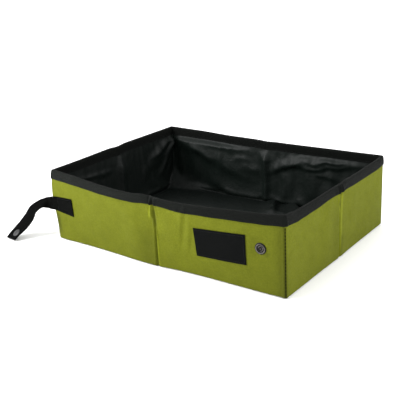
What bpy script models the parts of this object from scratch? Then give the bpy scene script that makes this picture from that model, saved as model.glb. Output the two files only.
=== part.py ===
"""Foldable litter box: a fabric travel tray of stiffened wall panels that folds flat.

Eight wall panels stand round a soft floor. Each panel is a stiff board between an outer cover
and an inner liner, with a bound rim. The short walls fold inwards at their middle creases, the
back wall comes against the front wall, and the flat strip then doubles over at the middle of the
long walls. A webbing strap goes round the free end to a snap on the front.

Metres, +Z up. The origin is the centre of the underside, +X runs right along the front wall and
+Y runs from the front wall to the back wall.
"""

import bpy
import bmesh
from math import cos, pi, radians, sin, sqrt
from mathutils import Matrix, Vector

# Overall sizes
tray_length = 0.400
tray_width = 0.288
rim_height = 0.107

# Layers of a wall, from the outside in, and the gap between them
cover_thickness = 0.0006
board_thickness = 0.0016
liner_thickness = 0.0005
binding_thickness = 0.0006
seam_gap = 0.0003

# Rim binding and the creases between two panels
binding_drop = 0.0133
binding_top_clearance = 0.0008
binding_arc_steps = 6
crease_gap = 0.0009

# Soft floor
floor_cover_thickness = 0.0007
floor_liner_thickness = 0.0005
floor_split_offset = 0.006
floor_liner_inset = 0.0012
floor_corner_radius = 0.003

# Outward bow of the front rim, pinched in at the middle crease
crease_bow = 0.0125
half_bow = 0.0083
bow_peak_share = 0.6
bow_rise_power = 1.2
bowed_length_steps = 14
bowed_height_steps = 4

# Corner radius of a side cover where it turns round the end of its board
corner_radius = 0.0014
corner_steps = 4

# Folding limits
side_fold_limit = radians(88.5)

# Bare woven patch on the right half of the front
patch_length = 0.0755
patch_height = 0.042
patch_thickness = 0.0008
patch_snap_gap = 0.0120
patch_middle_height = 0.0545
patch_steps = 8

# Snap on the front: stud, and the post that holds it through the cover
snap_radius = 0.0078
snap_height = 0.0026
snap_end_distance = 0.0337
snap_middle_height = 0.0612
post_radius = 0.0017
post_head_radius = 0.0052
post_head_thickness = 0.0009
post_clearance = 0.0004
post_head_clearance = 0.0010
turned_steps = 32

# Strap: the sewn base, the free webbing and its snap
strap_width = 0.0255
strap_thickness = 0.0014
strap_base_length = 0.034
strap_middle_height = 0.0545
strap_reach_left = 0.0609
strap_reach_forward = 0.0436
strap_drop = 0.0519
strap_swing_offset = 0.0020
strap_joint_gap = 0.0009
strap_split_share = 0.52
strap_length_steps = 14
strap_width_steps = 2
strap_cap_radius = 0.0062
strap_cap_height = 0.0013
strap_socket_radius = 0.0058
strap_socket_height = 0.0028
strap_snap_distance = 0.0125
strap_snap_offset = 0.0030
cut_overrun = 0.002

# Free strap: places along it as shares of its reach left, reach forward and drop
strap_route_shares = (
    (0.00, 0.00, 0.00),
    (0.13, 0.00, -0.005),
    (0.30, 0.00, -0.025),
    (0.475, 0.10, 0.05),
    (0.63, 0.25, 0.205),
    (0.74, 0.385, 0.445),
    (0.865, 0.545, 0.675),
    (0.975, 0.755, 0.86),
    (1.00, 1.00, 1.00),
)
# The width of the free strap turns from upright at the corner to level at the tip
strap_tip_across_shares = Vector((-0.98, 0.176, -0.057))
strap_twist_start_share = 0.06
strap_twist_end_share = 0.36
route_step_share = 0.01

# Turned profiles: shares of the snap's radius and height, from the top down the outside
stud_profile_shares = (
    (0.00, 1.00),
    (0.24, 1.00),
    (0.34, 0.90),
    (0.35, 0.74),
    (0.29, 0.60),
    (0.31, 0.34),
    (0.52, 0.26),
    (0.60, 0.50),
    (0.72, 0.66),
    (0.88, 0.56),
    (0.98, 0.30),
    (1.00, 0.00),
)
socket_profile_shares = (
    (0.46, 0.22),
    (0.46, 0.80),
    (0.52, 1.00),
    (0.70, 1.00),
    (0.78, 0.84),
    (0.80, 0.40),
    (0.94, 0.30),
    (1.00, 0.14),
    (1.00, 0.00),
)
cap_profile_shares = (
    (0.00, 1.00),
    (0.30, 0.97),
    (0.62, 0.84),
    (0.86, 0.56),
    (1.00, 0.16),
    (1.00, 0.00),
)

# Values worked out from the sizes above
half_length = tray_length / 2
half_width = tray_width / 2
board_depth = cover_thickness + seam_gap
liner_depth = board_depth + board_thickness + seam_gap
wall_depth = liner_depth + liner_thickness
binding_reach = seam_gap + binding_thickness
inner_pivot = wall_depth + binding_reach + seam_gap
outer_pivot = binding_reach + seam_gap
floor_top = floor_cover_thickness + seam_gap + floor_liner_thickness
wall_bottom = floor_top + seam_gap
binding_radius = wall_depth / 2 + binding_reach
binding_inner_radius = binding_radius - binding_thickness
wall_top = (rim_height - binding_radius - binding_top_clearance
            + sqrt(binding_inner_radius ** 2 - (wall_depth / 2) ** 2))
fold_span = half_width - inner_pivot
fold_offset = inner_pivot + outer_pivot
front_crease_depth = (2 * inner_pivot + outer_pivot
                      + 2 * fold_offset * sin(side_fold_limit)
                      + 2 * fold_span * cos(side_fold_limit))
patch_end = half_length - snap_end_distance - snap_radius - patch_snap_gap
strap_outer_y = -half_width - seam_gap - strap_thickness
strap_middle_y = -half_width - seam_gap - strap_thickness / 2
strap_start_x = -half_length - strap_joint_gap

# Colour, roughness and metallic value of each kind of piece
finishes = {
    "cover": ((0.262, 0.287, 0.031), 0.80, 0.0),
    "liner": ((0.012, 0.017, 0.015), 0.38, 0.0),
    "board": ((0.560, 0.545, 0.500), 0.60, 0.0),
    "binding": ((0.026, 0.028, 0.030), 0.75, 0.0),
    "webbing": ((0.010, 0.010, 0.011), 0.78, 0.0),
    "patch": ((0.012, 0.012, 0.014), 0.70, 0.0),
    "snap": ((0.115, 0.115, 0.120), 0.36, 0.9),
    "cap": ((0.105, 0.105, 0.110), 0.45, 0.7),
}


def clear_scene():
    """Remove every object left in the open file."""
    for item in list(bpy.data.objects):
        bpy.data.objects.remove(item, do_unlink=True)


def new_collection(name):
    collection = bpy.data.collections.new(name)
    bpy.context.scene.collection.children.link(collection)
    return collection


def make_material(name, finish):
    colour, roughness, metallic = finishes[finish]
    material = bpy.data.materials.new(name)
    material.use_nodes = True
    shader = material.node_tree.nodes["Principled BSDF"]
    shader.inputs["Base Color"].default_value = (*colour, 1)
    shader.inputs["Roughness"].default_value = roughness
    shader.inputs["Metallic"].default_value = metallic
    material.diffuse_color = (*colour, 1)
    return material


class Body:
    """A group of pieces that moves as one, carried by an empty on its joint's axis."""

    def __init__(self, name, place, parent=None):
        self.place = Vector(place)
        self.empty = bpy.data.objects.new(name + "_pivot", None)
        self.empty.empty_display_size = rim_height / 4
        pieces.objects.link(self.empty)
        if parent:
            self.empty.parent = parent.empty
            self.empty.location = self.place - parent.place
        else:
            self.empty.location = self.place


class Wall:
    """A wall panel: a start corner, the way it runs and the way to the inside of the tray."""

    def __init__(self, start, along, inward, length, bowed=False):
        self.start = Vector((*start, 0))
        self.along = Vector((*along, 0))
        self.inward = Vector((*inward, 0))
        self.length = length
        self.bowed = bowed

    def point(self, along, depth, height):
        place = self.start + self.along * along + self.inward * depth
        place.z = height
        if self.bowed:
            place -= self.inward * front_bow(place.x, height)
        return place


def front_bow(x, height):
    """Distance that the front face stands out at a place along the tray and a height."""
    share = min(abs(x) / half_length, 1)
    rim = crease_bow * (1 - share) + half_bow * sin(pi * share ** bow_peak_share)
    return rim * (max(height, 0) / rim_height) ** bow_rise_power


def spread(start, end, count):
    """Evenly spaced values, both ends included."""
    return [start + (end - start) * step / count for step in range(count + 1)]


def mesh_object(name, mesh, body, finish):
    mesh.name = name
    mesh.materials.append(make_material(name, finish))
    piece = bpy.data.objects.new(name, mesh)
    pieces.objects.link(piece)
    piece.parent = body.empty
    return piece


def sheet(name, body, finish, points, thickness, outward):
    """Closed sheet: a grid laid on rows of outer points, thickened away from outward."""
    rows = len(points) - 1
    columns = len(points[0]) - 1
    grid = bmesh.new()
    bmesh.ops.create_grid(grid, x_segments=columns, y_segments=rows, size=0.5)
    for vert in grid.verts:
        column = round((vert.co.x + 0.5) * columns)
        row = round((vert.co.y + 0.5) * rows)
        vert.co = points[row][column] - body.place
    grid.normal_update()
    facing = max(grid.faces, key=lambda face: abs(face.normal.dot(outward)))
    if facing.normal.dot(outward) < 0:
        bmesh.ops.reverse_faces(grid, faces=grid.faces[:])
    mesh = bpy.data.meshes.new(name)
    grid.to_mesh(mesh)
    grid.free()
    piece = mesh_object(name, mesh, body, finish)
    solidify = piece.modifiers.new("Thickness", "SOLIDIFY")
    solidify.thickness = thickness
    solidify.offset = -1
    solidify.use_even_offset = True
    solidify.use_quality_normals = True
    return piece


def wall_layer(name, body, finish, wall, start, end, depth, thickness):
    """One flat or bowed layer of a wall panel, at a depth from the outer face."""
    columns = bowed_length_steps if wall.bowed else 1
    rows = bowed_height_steps if wall.bowed else 1
    stations = layer_stations(wall, start, end, columns)
    points = [[wall.point(along, depth, height) for along in stations]
              for height in spread(wall_bottom, wall_top, rows)]
    return sheet(name, body, finish, points, thickness, -wall.inward)


def layer_stations(wall, start, end, count):
    """Places along a panel, closer together near the middle crease on a bowed panel."""
    if not wall.bowed:
        return spread(start, end, count)
    shares = [1 - cos(share * pi / 2) for share in spread(0, 1, count)]
    if wall.point(end, 0, 0).x < half_length / 2:
        return [end - (end - start) * share for share in reversed(shares)]
    return [start + (end - start) * share for share in shares]


def side_cover(name, body, wall, end_first):
    """Cover of a side panel, turned round the end of its board at the tray's corner."""
    turn = [(corner_radius * (1 - cos(angle)), corner_radius * (1 - sin(angle)))
            for angle in spread(0, pi / 2, corner_steps)]
    plan = [(0, wall_depth)] + turn + [(wall.length - crease_gap / 2, 0)]
    if not end_first:
        plan = [(wall.length - along, depth) for along, depth in plan]
    points = [[wall.point(along, depth, height) for along, depth in plan]
              for height in (wall_bottom, wall_top)]
    return sheet(name, body, "cover", points, cover_thickness, -wall.inward)


def rim_binding(name, body, wall, start, end):
    """Folded binding: two leaves joined by a rounded top, over all layers of a panel."""
    middle = wall_depth / 2
    low = rim_height - binding_drop
    shoulder = rim_height - binding_radius
    arc = [(middle - binding_radius * cos(angle), shoulder + binding_radius * sin(angle))
           for angle in spread(0, pi, binding_arc_steps)]
    profile = [(-binding_reach, low)] + arc + [(wall_depth + binding_reach, low)]
    columns = bowed_length_steps if wall.bowed else 1
    points = [[wall.point(along, depth, height) for depth, height in profile]
              for along in layer_stations(wall, start, end, columns)]
    return sheet(name, body, "binding", points, binding_thickness, Vector((0, 0, 1)))


def long_panel(name, body, wall, crease_first):
    """Board, cover, liner and binding of one half of a long wall."""
    first, last = panel_ends(wall, crease_first, crease_gap / 2, inner_pivot)
    for part, finish, depth, thickness in (
            ("board", "board", board_depth, board_thickness),
            ("cover", "cover", 0, cover_thickness),
            ("liner", "liner", liner_depth, liner_thickness)):
        wall_layer(name + "_" + part, body, finish, wall, first, last, depth, thickness)
    rim_binding(name + "_binding", body, wall, first, last)


def panel_ends(wall, crease_first, crease_end, corner_end):
    if crease_first:
        return crease_end, wall.length - corner_end
    return corner_end, wall.length - crease_end


def side_panel(name, body, wall, corner_first):
    """Board, cover, liner and binding of one half of a short wall, with its corner."""
    crease_end = crease_gap / 2
    for part, depth, thickness in (("board", board_depth, board_thickness),
                                   ("liner", liner_depth, liner_thickness)):
        first, last = panel_ends(wall, not corner_first, crease_end, board_depth)
        wall_layer(name + "_" + part, body, part, wall, first, last, depth, thickness)
    side_cover(name + "_cover", body, wall, corner_first)
    first, last = panel_ends(wall, not corner_first, crease_end, -binding_reach)
    rim_binding(name + "_binding", body, wall, first, last)


def rounded_plate(name, body, finish, low, high, bottom, thickness):
    """Flat plate with rounded upright edges between two corners."""
    bpy.ops.mesh.primitive_cube_add(size=1)
    piece = bpy.context.object
    mesh = piece.data
    size = Vector((high[0] - low[0], high[1] - low[1], thickness))
    centre = Vector(((high[0] + low[0]) / 2, (high[1] + low[1]) / 2, bottom + thickness / 2))
    mesh.transform(Matrix.Translation(centre - body.place) @ Matrix.Diagonal((*size, 1)))
    bpy.data.objects.remove(piece)
    solid = bmesh.new()
    solid.from_mesh(mesh)
    upright = [edge for edge in solid.edges
               if abs(edge.verts[0].co.z - edge.verts[1].co.z) > thickness / 2]
    bmesh.ops.bevel(solid, geom=upright, offset=floor_corner_radius, segments=corner_steps,
                    affect="EDGES", profile=0.5)
    solid.to_mesh(mesh)
    solid.free()
    return mesh_object(name, mesh, body, finish)


def floor_half(side, body, low_x, high_x):
    """Cover and liner of one half of the soft floor."""
    rounded_plate("floor_" + side + "_cover", body, "cover",
                  (low_x, -half_width), (high_x, half_width), 0, floor_cover_thickness)
    inset = floor_liner_inset
    inner_low = low_x + (inset if low_x < 0 else 0)
    inner_high = high_x - (inset if low_x > 0 else 0)
    rounded_plate("floor_" + side + "_liner", body, "liner",
                  (inner_low, inset - half_width), (inner_high, half_width - inset),
                  floor_cover_thickness + seam_gap, floor_liner_thickness)


def turned(name, body, finish, profile, place):
    """Turned piece: a profile spun round local Z, then set on its frame."""
    mesh = bpy.data.meshes.new(name)
    points = [(radius, 0, height) for radius, height in profile]
    edges = [(step, step + 1) for step in range(len(points) - 1)]
    if profile[0][0] > 0:
        edges.append((len(points) - 1, 0))
    mesh.from_pydata(points, edges, [])
    piece = mesh_object(name, mesh, body, finish)
    piece.matrix_basis = Matrix.Translation(-body.place) @ place
    screw = piece.modifiers.new("Turn", "SCREW")
    screw.steps = turned_steps
    screw.render_steps = turned_steps
    screw.use_merge_vertices = True
    screw.merge_threshold = 0.00001
    screw.use_smooth_shade = True
    return piece


def scaled_profile(shares, radius, height):
    return [(radius * across, height * up) for across, up in shares]


def cutter(name, body, place, radius, low, high):
    """Round cutter along local Z of a frame."""
    bpy.ops.mesh.primitive_cylinder_add(vertices=turned_steps, radius=radius, depth=high - low)
    piece = bpy.context.object
    piece.name = name
    piece.data.transform(Matrix.Translation((0, 0, (high + low) / 2)))
    for collection in list(piece.users_collection):
        collection.objects.unlink(piece)
    cutters.objects.link(piece)
    piece.parent = body.empty
    piece.matrix_basis = Matrix.Translation(-body.place) @ place
    piece.hide_render = True
    piece.display_type = "WIRE"
    return piece


def cut(piece, tool):
    boolean = piece.modifiers.new("Cut " + tool.name, "BOOLEAN")
    boolean.operation = "DIFFERENCE"
    boolean.solver = "EXACT"
    boolean.object = tool


def front_frame(x, height):
    """Frame on the outer face of the front cover, its local Z pointing out of the face."""
    here = Vector((x, -half_width - front_bow(x, height), height))
    step = snap_radius
    right = Vector((2 * step, front_bow(x - step, height) - front_bow(x + step, height), 0))
    up = Vector((0, front_bow(x, height - step) - front_bow(x, height + step), 2 * step))
    out = right.cross(up).normalized()
    right.normalize()
    up = out.cross(right)
    frame = Matrix((right, up, out)).transposed().to_4x4()
    return Matrix.Translation(here) @ frame


def woven_patch(body, wall):
    """Bare woven patch that follows the bowed cover."""
    low = patch_middle_height - patch_height / 2
    depth = -seam_gap - patch_thickness
    points = [[wall.point(along, depth, height)
               for along in spread(patch_end - patch_length, patch_end, patch_steps)]
              for height in spread(low, low + patch_height, bowed_height_steps)]
    sheet("front_patch", body, "patch", points, patch_thickness, -wall.inward)


def front_snap(body):
    """Snap stud on the front cover and the post that rivets it from behind the cover."""
    place = front_frame(half_length - snap_end_distance, snap_middle_height)
    bore = post_radius + seam_gap
    bore_top = snap_height * stud_profile_shares[4][1]
    solid = scaled_profile(stud_profile_shares, snap_radius, snap_height)
    profile = solid + [(bore, 0), (bore, bore_top), (0, bore_top)]
    seat = place @ Matrix.Translation((0, 0, seam_gap))
    turned("snap_stud", body, "snap", profile, seat)
    head_top = -cover_thickness - seam_gap
    head_low = head_top - post_head_thickness
    post = [(0, bore_top), (post_radius, bore_top), (post_radius, head_top),
            (post_head_radius, head_top), (post_head_radius, head_low), (0, head_low)]
    turned("snap_post", body, "snap", post, place)
    hole = post_radius + post_clearance
    cut(bpy.data.objects["front_right_cover"],
        cutter("post_hole", body, place, hole, -cut_overrun, cut_overrun))
    pocket = post_head_radius + post_head_clearance
    depth = liner_depth + cut_overrun
    cut(bpy.data.objects["front_right_board"],
        cutter("post_head_hole", body, place, pocket, -depth, cut_overrun))


def smooth_place(points, share):
    """Place on a smooth curve through the points, at a share of the way along them."""
    count = len(points) - 1
    index = min(int(share * count), count - 1)
    part = share * count - index
    here, there = points[index], points[index + 1]
    before = points[index - 1] if index > 0 else here * 2 - there
    after = points[index + 2] if index + 2 <= count else there * 2 - here
    slope_here = (there - before) / 2
    slope_there = (after - here) / 2
    square, cube = part ** 2, part ** 3
    return (here * (2 * cube - 3 * square + 1) + slope_here * (cube - 2 * square + part)
            + there * (3 * square - 2 * cube) + slope_there * (cube - square))


def strap_place(share):
    """Centre of the free strap's outer face at a share of its route."""
    start = Vector((strap_start_x, strap_outer_y, strap_middle_height))
    reach = Vector((-strap_reach_left, -strap_reach_forward, -strap_drop))
    points = [start + Vector((reach[axis] * shares[axis] for axis in range(3)))
              for shares in strap_route_shares]
    return smooth_place(points, share)


def strap_frame(share):
    """Frame on the free strap: local X along it, Y across it and Z out of its outer face."""
    before = strap_place(max(share - route_step_share, 0))
    after = strap_place(min(share + route_step_share, 1))
    along = (after - before).normalized()
    turn = (share - strap_twist_start_share) / (strap_twist_end_share - strap_twist_start_share)
    turn = min(max(turn, 0), 1)
    turn = turn * turn * (3 - 2 * turn)
    across = Vector((0, 0, 1)).slerp(strap_tip_across_shares.normalized(), turn)
    out = across.cross(along).normalized()
    across = along.cross(out)
    frame = Matrix((along, across, out)).transposed().to_4x4()
    return Matrix.Translation(strap_place(share)) @ frame


def strap_length(start, end):
    """Length of the free strap between two shares of its route."""
    places = [strap_place(share) for share in spread(start, end, strap_length_steps * 4)]
    return sum((after - before).length for before, after in zip(places, places[1:]))


def share_per_length(share):
    """Share of the route that one metre of strap takes at a share of it."""
    start, end = share - route_step_share, share + route_step_share
    return (end - start) / strap_length(start, end)


def webbing(name, body, start, end):
    """Stretch of the free strap between two shares of its route."""
    points = []
    for offset in spread(-strap_width / 2, strap_width / 2, strap_width_steps):
        side = Vector((0, offset, 0))
        points.append([strap_frame(share) @ side for share in spread(start, end, strap_length_steps)])
    middle = strap_frame((start + end) / 2)
    out = middle.to_3x3().col[2].copy()
    return sheet(name, body, "webbing", points, strap_thickness, out)


def strap_base(body, wall):
    """Stretch of the strap that is sewn flat on the front cover, up to the corner."""
    low = strap_middle_height - strap_width / 2
    depth = -seam_gap - strap_thickness
    points = [[wall.point(along, depth, height)
               for along in spread(0, strap_base_length, patch_steps)]
              for height in spread(low, low + strap_width, bowed_height_steps)]
    sheet("strap_base", body, "webbing", points, strap_thickness, -wall.inward)


def strap_snap(body, piece):
    """Cap on the outer face of the strap's tip and the socket on its inner face."""
    tip_share = 1 - strap_snap_distance * share_per_length(1 - strap_split_share / 2)
    place = strap_frame(tip_share) @ Matrix.Translation((0, -strap_snap_offset, 0))
    hole = cutter("strap_hole", body, place, post_radius + post_clearance,
                  -strap_thickness - cut_overrun, cut_overrun)
    cut(piece, hole)
    shank_low = -strap_thickness - seam_gap * 2
    cap = scaled_profile(cap_profile_shares, strap_cap_radius, strap_cap_height)
    cap += [(post_radius, 0), (post_radius, shank_low), (0, shank_low)]
    turned("strap_snap_cap", body, "cap", cap, place @ Matrix.Translation((0, 0, seam_gap)))
    socket = scaled_profile(socket_profile_shares, strap_socket_radius, strap_socket_height)
    bore = post_radius + seam_gap
    socket += [(bore, 0), (bore, socket[0][1])]
    flip = Matrix.Rotation(pi, 4, "X")
    seat = place @ Matrix.Translation((0, 0, -strap_thickness - seam_gap)) @ flip
    turned("strap_snap_socket", body, "snap", socket, seat)


def build_tray():
    """All bodies and pieces, the front left panel being the one that stays."""
    corner_x = half_length - inner_pivot
    corner_y = half_width - inner_pivot
    crease_x = half_length + outer_pivot
    crease_y = half_width + outer_pivot
    front_left = Body("front_left", (0, 0, 0))
    left_front = Body("left_front", (-corner_x, -corner_y, 0), front_left)
    left_back = Body("left_back", (-crease_x, 0, 0), left_front)
    back_left = Body("back_left", (-corner_x, corner_y, 0), left_back)
    back_right = Body("back_right", (0, crease_y, 0), back_left)
    right_back = Body("right_back", (corner_x, corner_y, 0), back_right)
    right_front = Body("right_front", (crease_x, 0, 0), right_back)
    front_right = Body("front_right", (0, front_crease_depth - half_width, 0), front_left)

    left_start = (-half_length, -half_width)
    front_left_wall = Wall(left_start, (1, 0), (0, 1), half_length, True)
    front_right_wall = Wall((0, -half_width), (1, 0), (0, 1), half_length, True)
    back_left_wall = Wall((-half_length, half_width), (1, 0), (0, -1), half_length)
    back_right_wall = Wall((0, half_width), (1, 0), (0, -1), half_length)
    long_panel("front_left", front_left, front_left_wall, False)
    long_panel("front_right", front_right, front_right_wall, True)
    long_panel("back_left", back_left, back_left_wall, False)
    long_panel("back_right", back_right, back_right_wall, True)

    left_front_wall = Wall(left_start, (0, 1), (1, 0), half_width)
    left_back_wall = Wall((-half_length, 0), (0, 1), (1, 0), half_width)
    right_front_wall = Wall((half_length, -half_width), (0, 1), (-1, 0), half_width)
    right_back_wall = Wall((half_length, 0), (0, 1), (-1, 0), half_width)
    side_panel("left_front", left_front, left_front_wall, True)
    side_panel("left_back", left_back, left_back_wall, False)
    side_panel("right_front", right_front, right_front_wall, True)
    side_panel("right_back", right_back, right_back_wall, False)

    floor_half("left", front_left, -half_length, floor_split_offset)
    floor_half("right", back_right, floor_split_offset + seam_gap, half_length)
    woven_patch(front_right, front_right_wall)
    front_snap(front_right)

    swing_x = -half_length - strap_swing_offset
    strap = Body("strap", (swing_x, strap_middle_y, strap_middle_height), front_left)
    bend = strap_frame(strap_split_share) @ Vector((0, 0, -strap_thickness / 2))
    strap_tip = Body("strap_tip", bend, strap)
    strap_base(front_left, front_left_wall)
    half_gap = strap_joint_gap / 2 * share_per_length(strap_split_share)
    webbing("strap", strap, 0, strap_split_share - half_gap)
    tip = webbing("strap_tip", strap_tip, strap_split_share + half_gap, 1)
    strap_snap(strap_tip, tip)
    return {"bend": bend, "bend_axis": strap_frame(strap_split_share).to_3x3().col[1].copy()}


clear_scene()
pieces = new_collection("Foldable litter box")
cutters = new_collection("Cutters")
strap_joint = build_tray()
print("front crease axis y", round(front_crease_depth - half_width, 6))
print("side corner axis", round(half_length - inner_pivot, 6), round(half_width - inner_pivot, 6))
print("outer crease axes", round(half_length + outer_pivot, 6), round(half_width + outer_pivot, 6))
print("strap swing axis", round(-half_length - strap_swing_offset, 6), round(strap_middle_y, 6))
print("strap bend", [round(value, 6) for value in strap_joint["bend"]],
      [round(value, 6) for value in strap_joint["bend_axis"]])
print("free strap length", round(strap_length(0, 1), 4))
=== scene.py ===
import bpy
import numpy as np
from collections import namedtuple
from math import cos, pi, radians, sin
from mathutils import Matrix, Vector, noise


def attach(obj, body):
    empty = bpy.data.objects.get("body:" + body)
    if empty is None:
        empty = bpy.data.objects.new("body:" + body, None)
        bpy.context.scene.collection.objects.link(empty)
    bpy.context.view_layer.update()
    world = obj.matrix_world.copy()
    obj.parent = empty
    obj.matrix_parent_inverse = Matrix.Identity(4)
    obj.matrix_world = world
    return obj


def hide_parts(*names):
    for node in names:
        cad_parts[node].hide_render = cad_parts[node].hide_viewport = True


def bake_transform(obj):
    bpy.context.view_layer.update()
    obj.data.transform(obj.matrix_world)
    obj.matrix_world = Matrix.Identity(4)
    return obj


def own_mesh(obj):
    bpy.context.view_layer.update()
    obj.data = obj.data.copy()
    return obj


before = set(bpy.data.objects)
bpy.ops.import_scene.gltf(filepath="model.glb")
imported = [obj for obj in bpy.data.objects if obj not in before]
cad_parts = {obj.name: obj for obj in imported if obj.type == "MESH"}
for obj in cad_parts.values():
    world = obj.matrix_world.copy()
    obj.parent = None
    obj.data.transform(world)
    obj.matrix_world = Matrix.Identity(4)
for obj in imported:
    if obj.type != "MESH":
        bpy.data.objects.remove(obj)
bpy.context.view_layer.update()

tiny = 1e-6   # metres; anything shorter is rounding
sheetFeel = 1e-4   # metres ahead and back from which a sheet's normals are taken
lastStep = 1.4   # the last of a row of steps may be this many steps long


def deselectAll():
    bpy.ops.object.select_all(action="DESELECT")


def selectOnly(piece):
    deselectAll()
    piece.select_set(True)
    bpy.context.view_layer.objects.active = piece


def startEdit(piece):
    # edit mode on one piece, with all of its mesh selected
    selectOnly(piece)
    bpy.ops.object.mode_set(mode="EDIT")
    bpy.ops.mesh.select_all(action="SELECT")


def endEdit(angle):
    # faces outwards, and smooth over edges that turn by less than the angle, in degrees
    bpy.ops.mesh.normals_make_consistent(inside=False)
    bpy.ops.object.mode_set(mode="OBJECT")
    bpy.ops.object.shade_smooth_by_angle(angle=radians(angle))


def addPiece(name, points, faces, material=None, edges=()):
    mesh = bpy.data.meshes.new(name)
    mesh.from_pydata(np.asarray(points).tolist(), edges, faces)
    mesh.polygons.foreach_set("use_smooth", np.ones(len(faces), bool))
    if material:
        mesh.materials.append(material)
    piece = bpy.data.objects.new(name, mesh)
    bpy.context.scene.collection.objects.link(piece)
    return piece


def smoothStep(share):
    share = np.clip(share, 0, 1)
    return share * share * (3 - 2 * share)


def bell(distance, width):
    return np.exp(-(distance / width) ** 2)


def unitRows(vectors):
    return vectors / np.maximum(np.linalg.norm(vectors, axis=1, keepdims=True), 1e-12)


def flatVector(pair):
    return Vector((*pair, 0))


def softNoise(points, size, seed):
    # smooth noise from -1 to 1 at points given in metres, with lumps about as wide as size
    offset = Vector((seed * 7.31, seed * 3.17, seed * 5.53))
    return np.array([noise.noise(Vector(point) / size + offset) for point in points])


def lineNoise(places, size, seed):
    # the same along one line
    return softNoise(np.column_stack((places, places * 0, places * 0)), size, seed)


def opaque(color):
    return (*color, 1)


def addNode(tree, kind, place, inputs=None, settings=None):
    # inputs are values or other nodes' sockets, by their names or numbers
    node = tree.nodes.new(kind)
    node.location = place
    for name, value in (settings or {}).items():
        setattr(node, name, value)
    for name, value in (inputs or {}).items():
        if isinstance(value, bpy.types.NodeSocket):
            tree.links.new(value, node.inputs[name])
        else:
            node.inputs[name].default_value = value
    return node


def mathNode(tree, operation, place, *values):
    node = addNode(tree, "ShaderNodeMath", place, dict(enumerate(values)), {"operation": operation})
    return node.outputs[0]


def mixColor(tree, place, factor, first, second, clamped=True):
    inputs = {0: factor, 6: first, 7: second}   # the mix node's own numbers for its colours
    node = addNode(tree, "ShaderNodeMix", place, inputs, {"data_type": "RGBA", "clamp_factor": clamped})
    return node.outputs[2]


def noiseNode(tree, place, vector, scale, detail, roughness=0.5, distortion=0):
    node = addNode(tree, "ShaderNodeTexNoise", place, {
        "Vector": vector, "Scale": scale, "Detail": detail, "Roughness": roughness,
        "Distortion": distortion})
    return node.outputs[0]


# The photograph's viewpoint, in degrees and metres
view = {
    "azimuth": 37.3, "elevation": 19.7, "roll": -3.10, "distance": 1.071,
    "target": (0.004, -0.051, 0.067), "lens": 66.5, "sensor": 36.0,
}


def placeCamera():
    azimuth, elevation, roll = (radians(view[name]) for name in ("azimuth", "elevation", "roll"))
    back = Vector((sin(azimuth) * cos(elevation), -cos(azimuth) * cos(elevation), sin(elevation)))
    right = (-back).cross(Vector((0, 0, 1))).normalized()
    up = right.cross(-back)
    turnedRight = right * cos(roll) + up * sin(roll)
    turnedUp = up * cos(roll) - right * sin(roll)
    turn = Matrix((turnedRight, turnedUp, back)).transposed().to_euler()
    place = Vector(view["target"]) + back * view["distance"]
    bpy.ops.object.camera_add(location=place, rotation=turn)
    camera = bpy.context.object
    camera.name = "productCamera"
    camera.data.lens = view["lens"]
    camera.data.sensor_width = view["sensor"]
    camera.data.sensor_fit = "HORIZONTAL"
    bpy.context.scene.camera = camera


studio = {
    "floorSize": 14.0, "floorColor": (0.985, 0.985, 0.985), "floorRoughness": 0.9, "floorDrop": 0.0004,
    "worldColor": (1.0, 1.0, 1.0), "worldStrength": 1.18,
    "softboxes": (
        {"name": "keySoftbox", "place": (-0.72, -0.80, 0.70), "aim": (-0.05, 0, 0.05), "size": 0.55,
         "power": 16},
        {"name": "rightFill", "place": (1.70, 0.30, 1.00), "aim": (0, 0, 0.05), "size": 0.8, "power": 14},
        {"name": "topSoftbox", "place": (-0.5, 0.9, 2.0), "aim": (0, 0, 0), "size": 1.2, "power": 11},
    ),
}


def buildStudio():
    world = bpy.data.worlds.new("paleStudio")
    bpy.context.scene.world = world
    world.use_nodes = True
    background = world.node_tree.nodes["Background"]
    background.inputs["Color"].default_value = opaque(studio["worldColor"])
    background.inputs["Strength"].default_value = studio["worldStrength"]
    deselectAll()
    bpy.ops.mesh.primitive_grid_add(x_subdivisions=2, y_subdivisions=2, size=studio["floorSize"])
    floor = bpy.context.object
    floor.name = "studioFloor"
    floor.data.transform(Matrix.Translation((0, 0, -studio["floorDrop"])))
    material = bpy.data.materials.new("paleFloor")
    material.use_nodes = True
    shader = material.node_tree.nodes["Principled BSDF"]
    shader.inputs["Base Color"].default_value = opaque(studio["floorColor"])
    shader.inputs["Roughness"].default_value = studio["floorRoughness"]
    floor.data.materials.append(material)
    for softbox in studio["softboxes"]:
        aim = Vector(softbox["aim"]) - Vector(softbox["place"])
        bpy.ops.object.light_add(type="AREA", location=softbox["place"],
                                 rotation=aim.to_track_quat("-Z", "Y").to_euler())
        light = bpy.context.object
        light.name = softbox["name"]
        light.data.shape = "SQUARE"
        light.data.size = softbox["size"]
        light.data.energy = softbox["power"]
    bpy.context.scene.view_settings.view_transform = "Standard"


placeCamera()
buildStudio()
print("camera, floor and lights placed")

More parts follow.
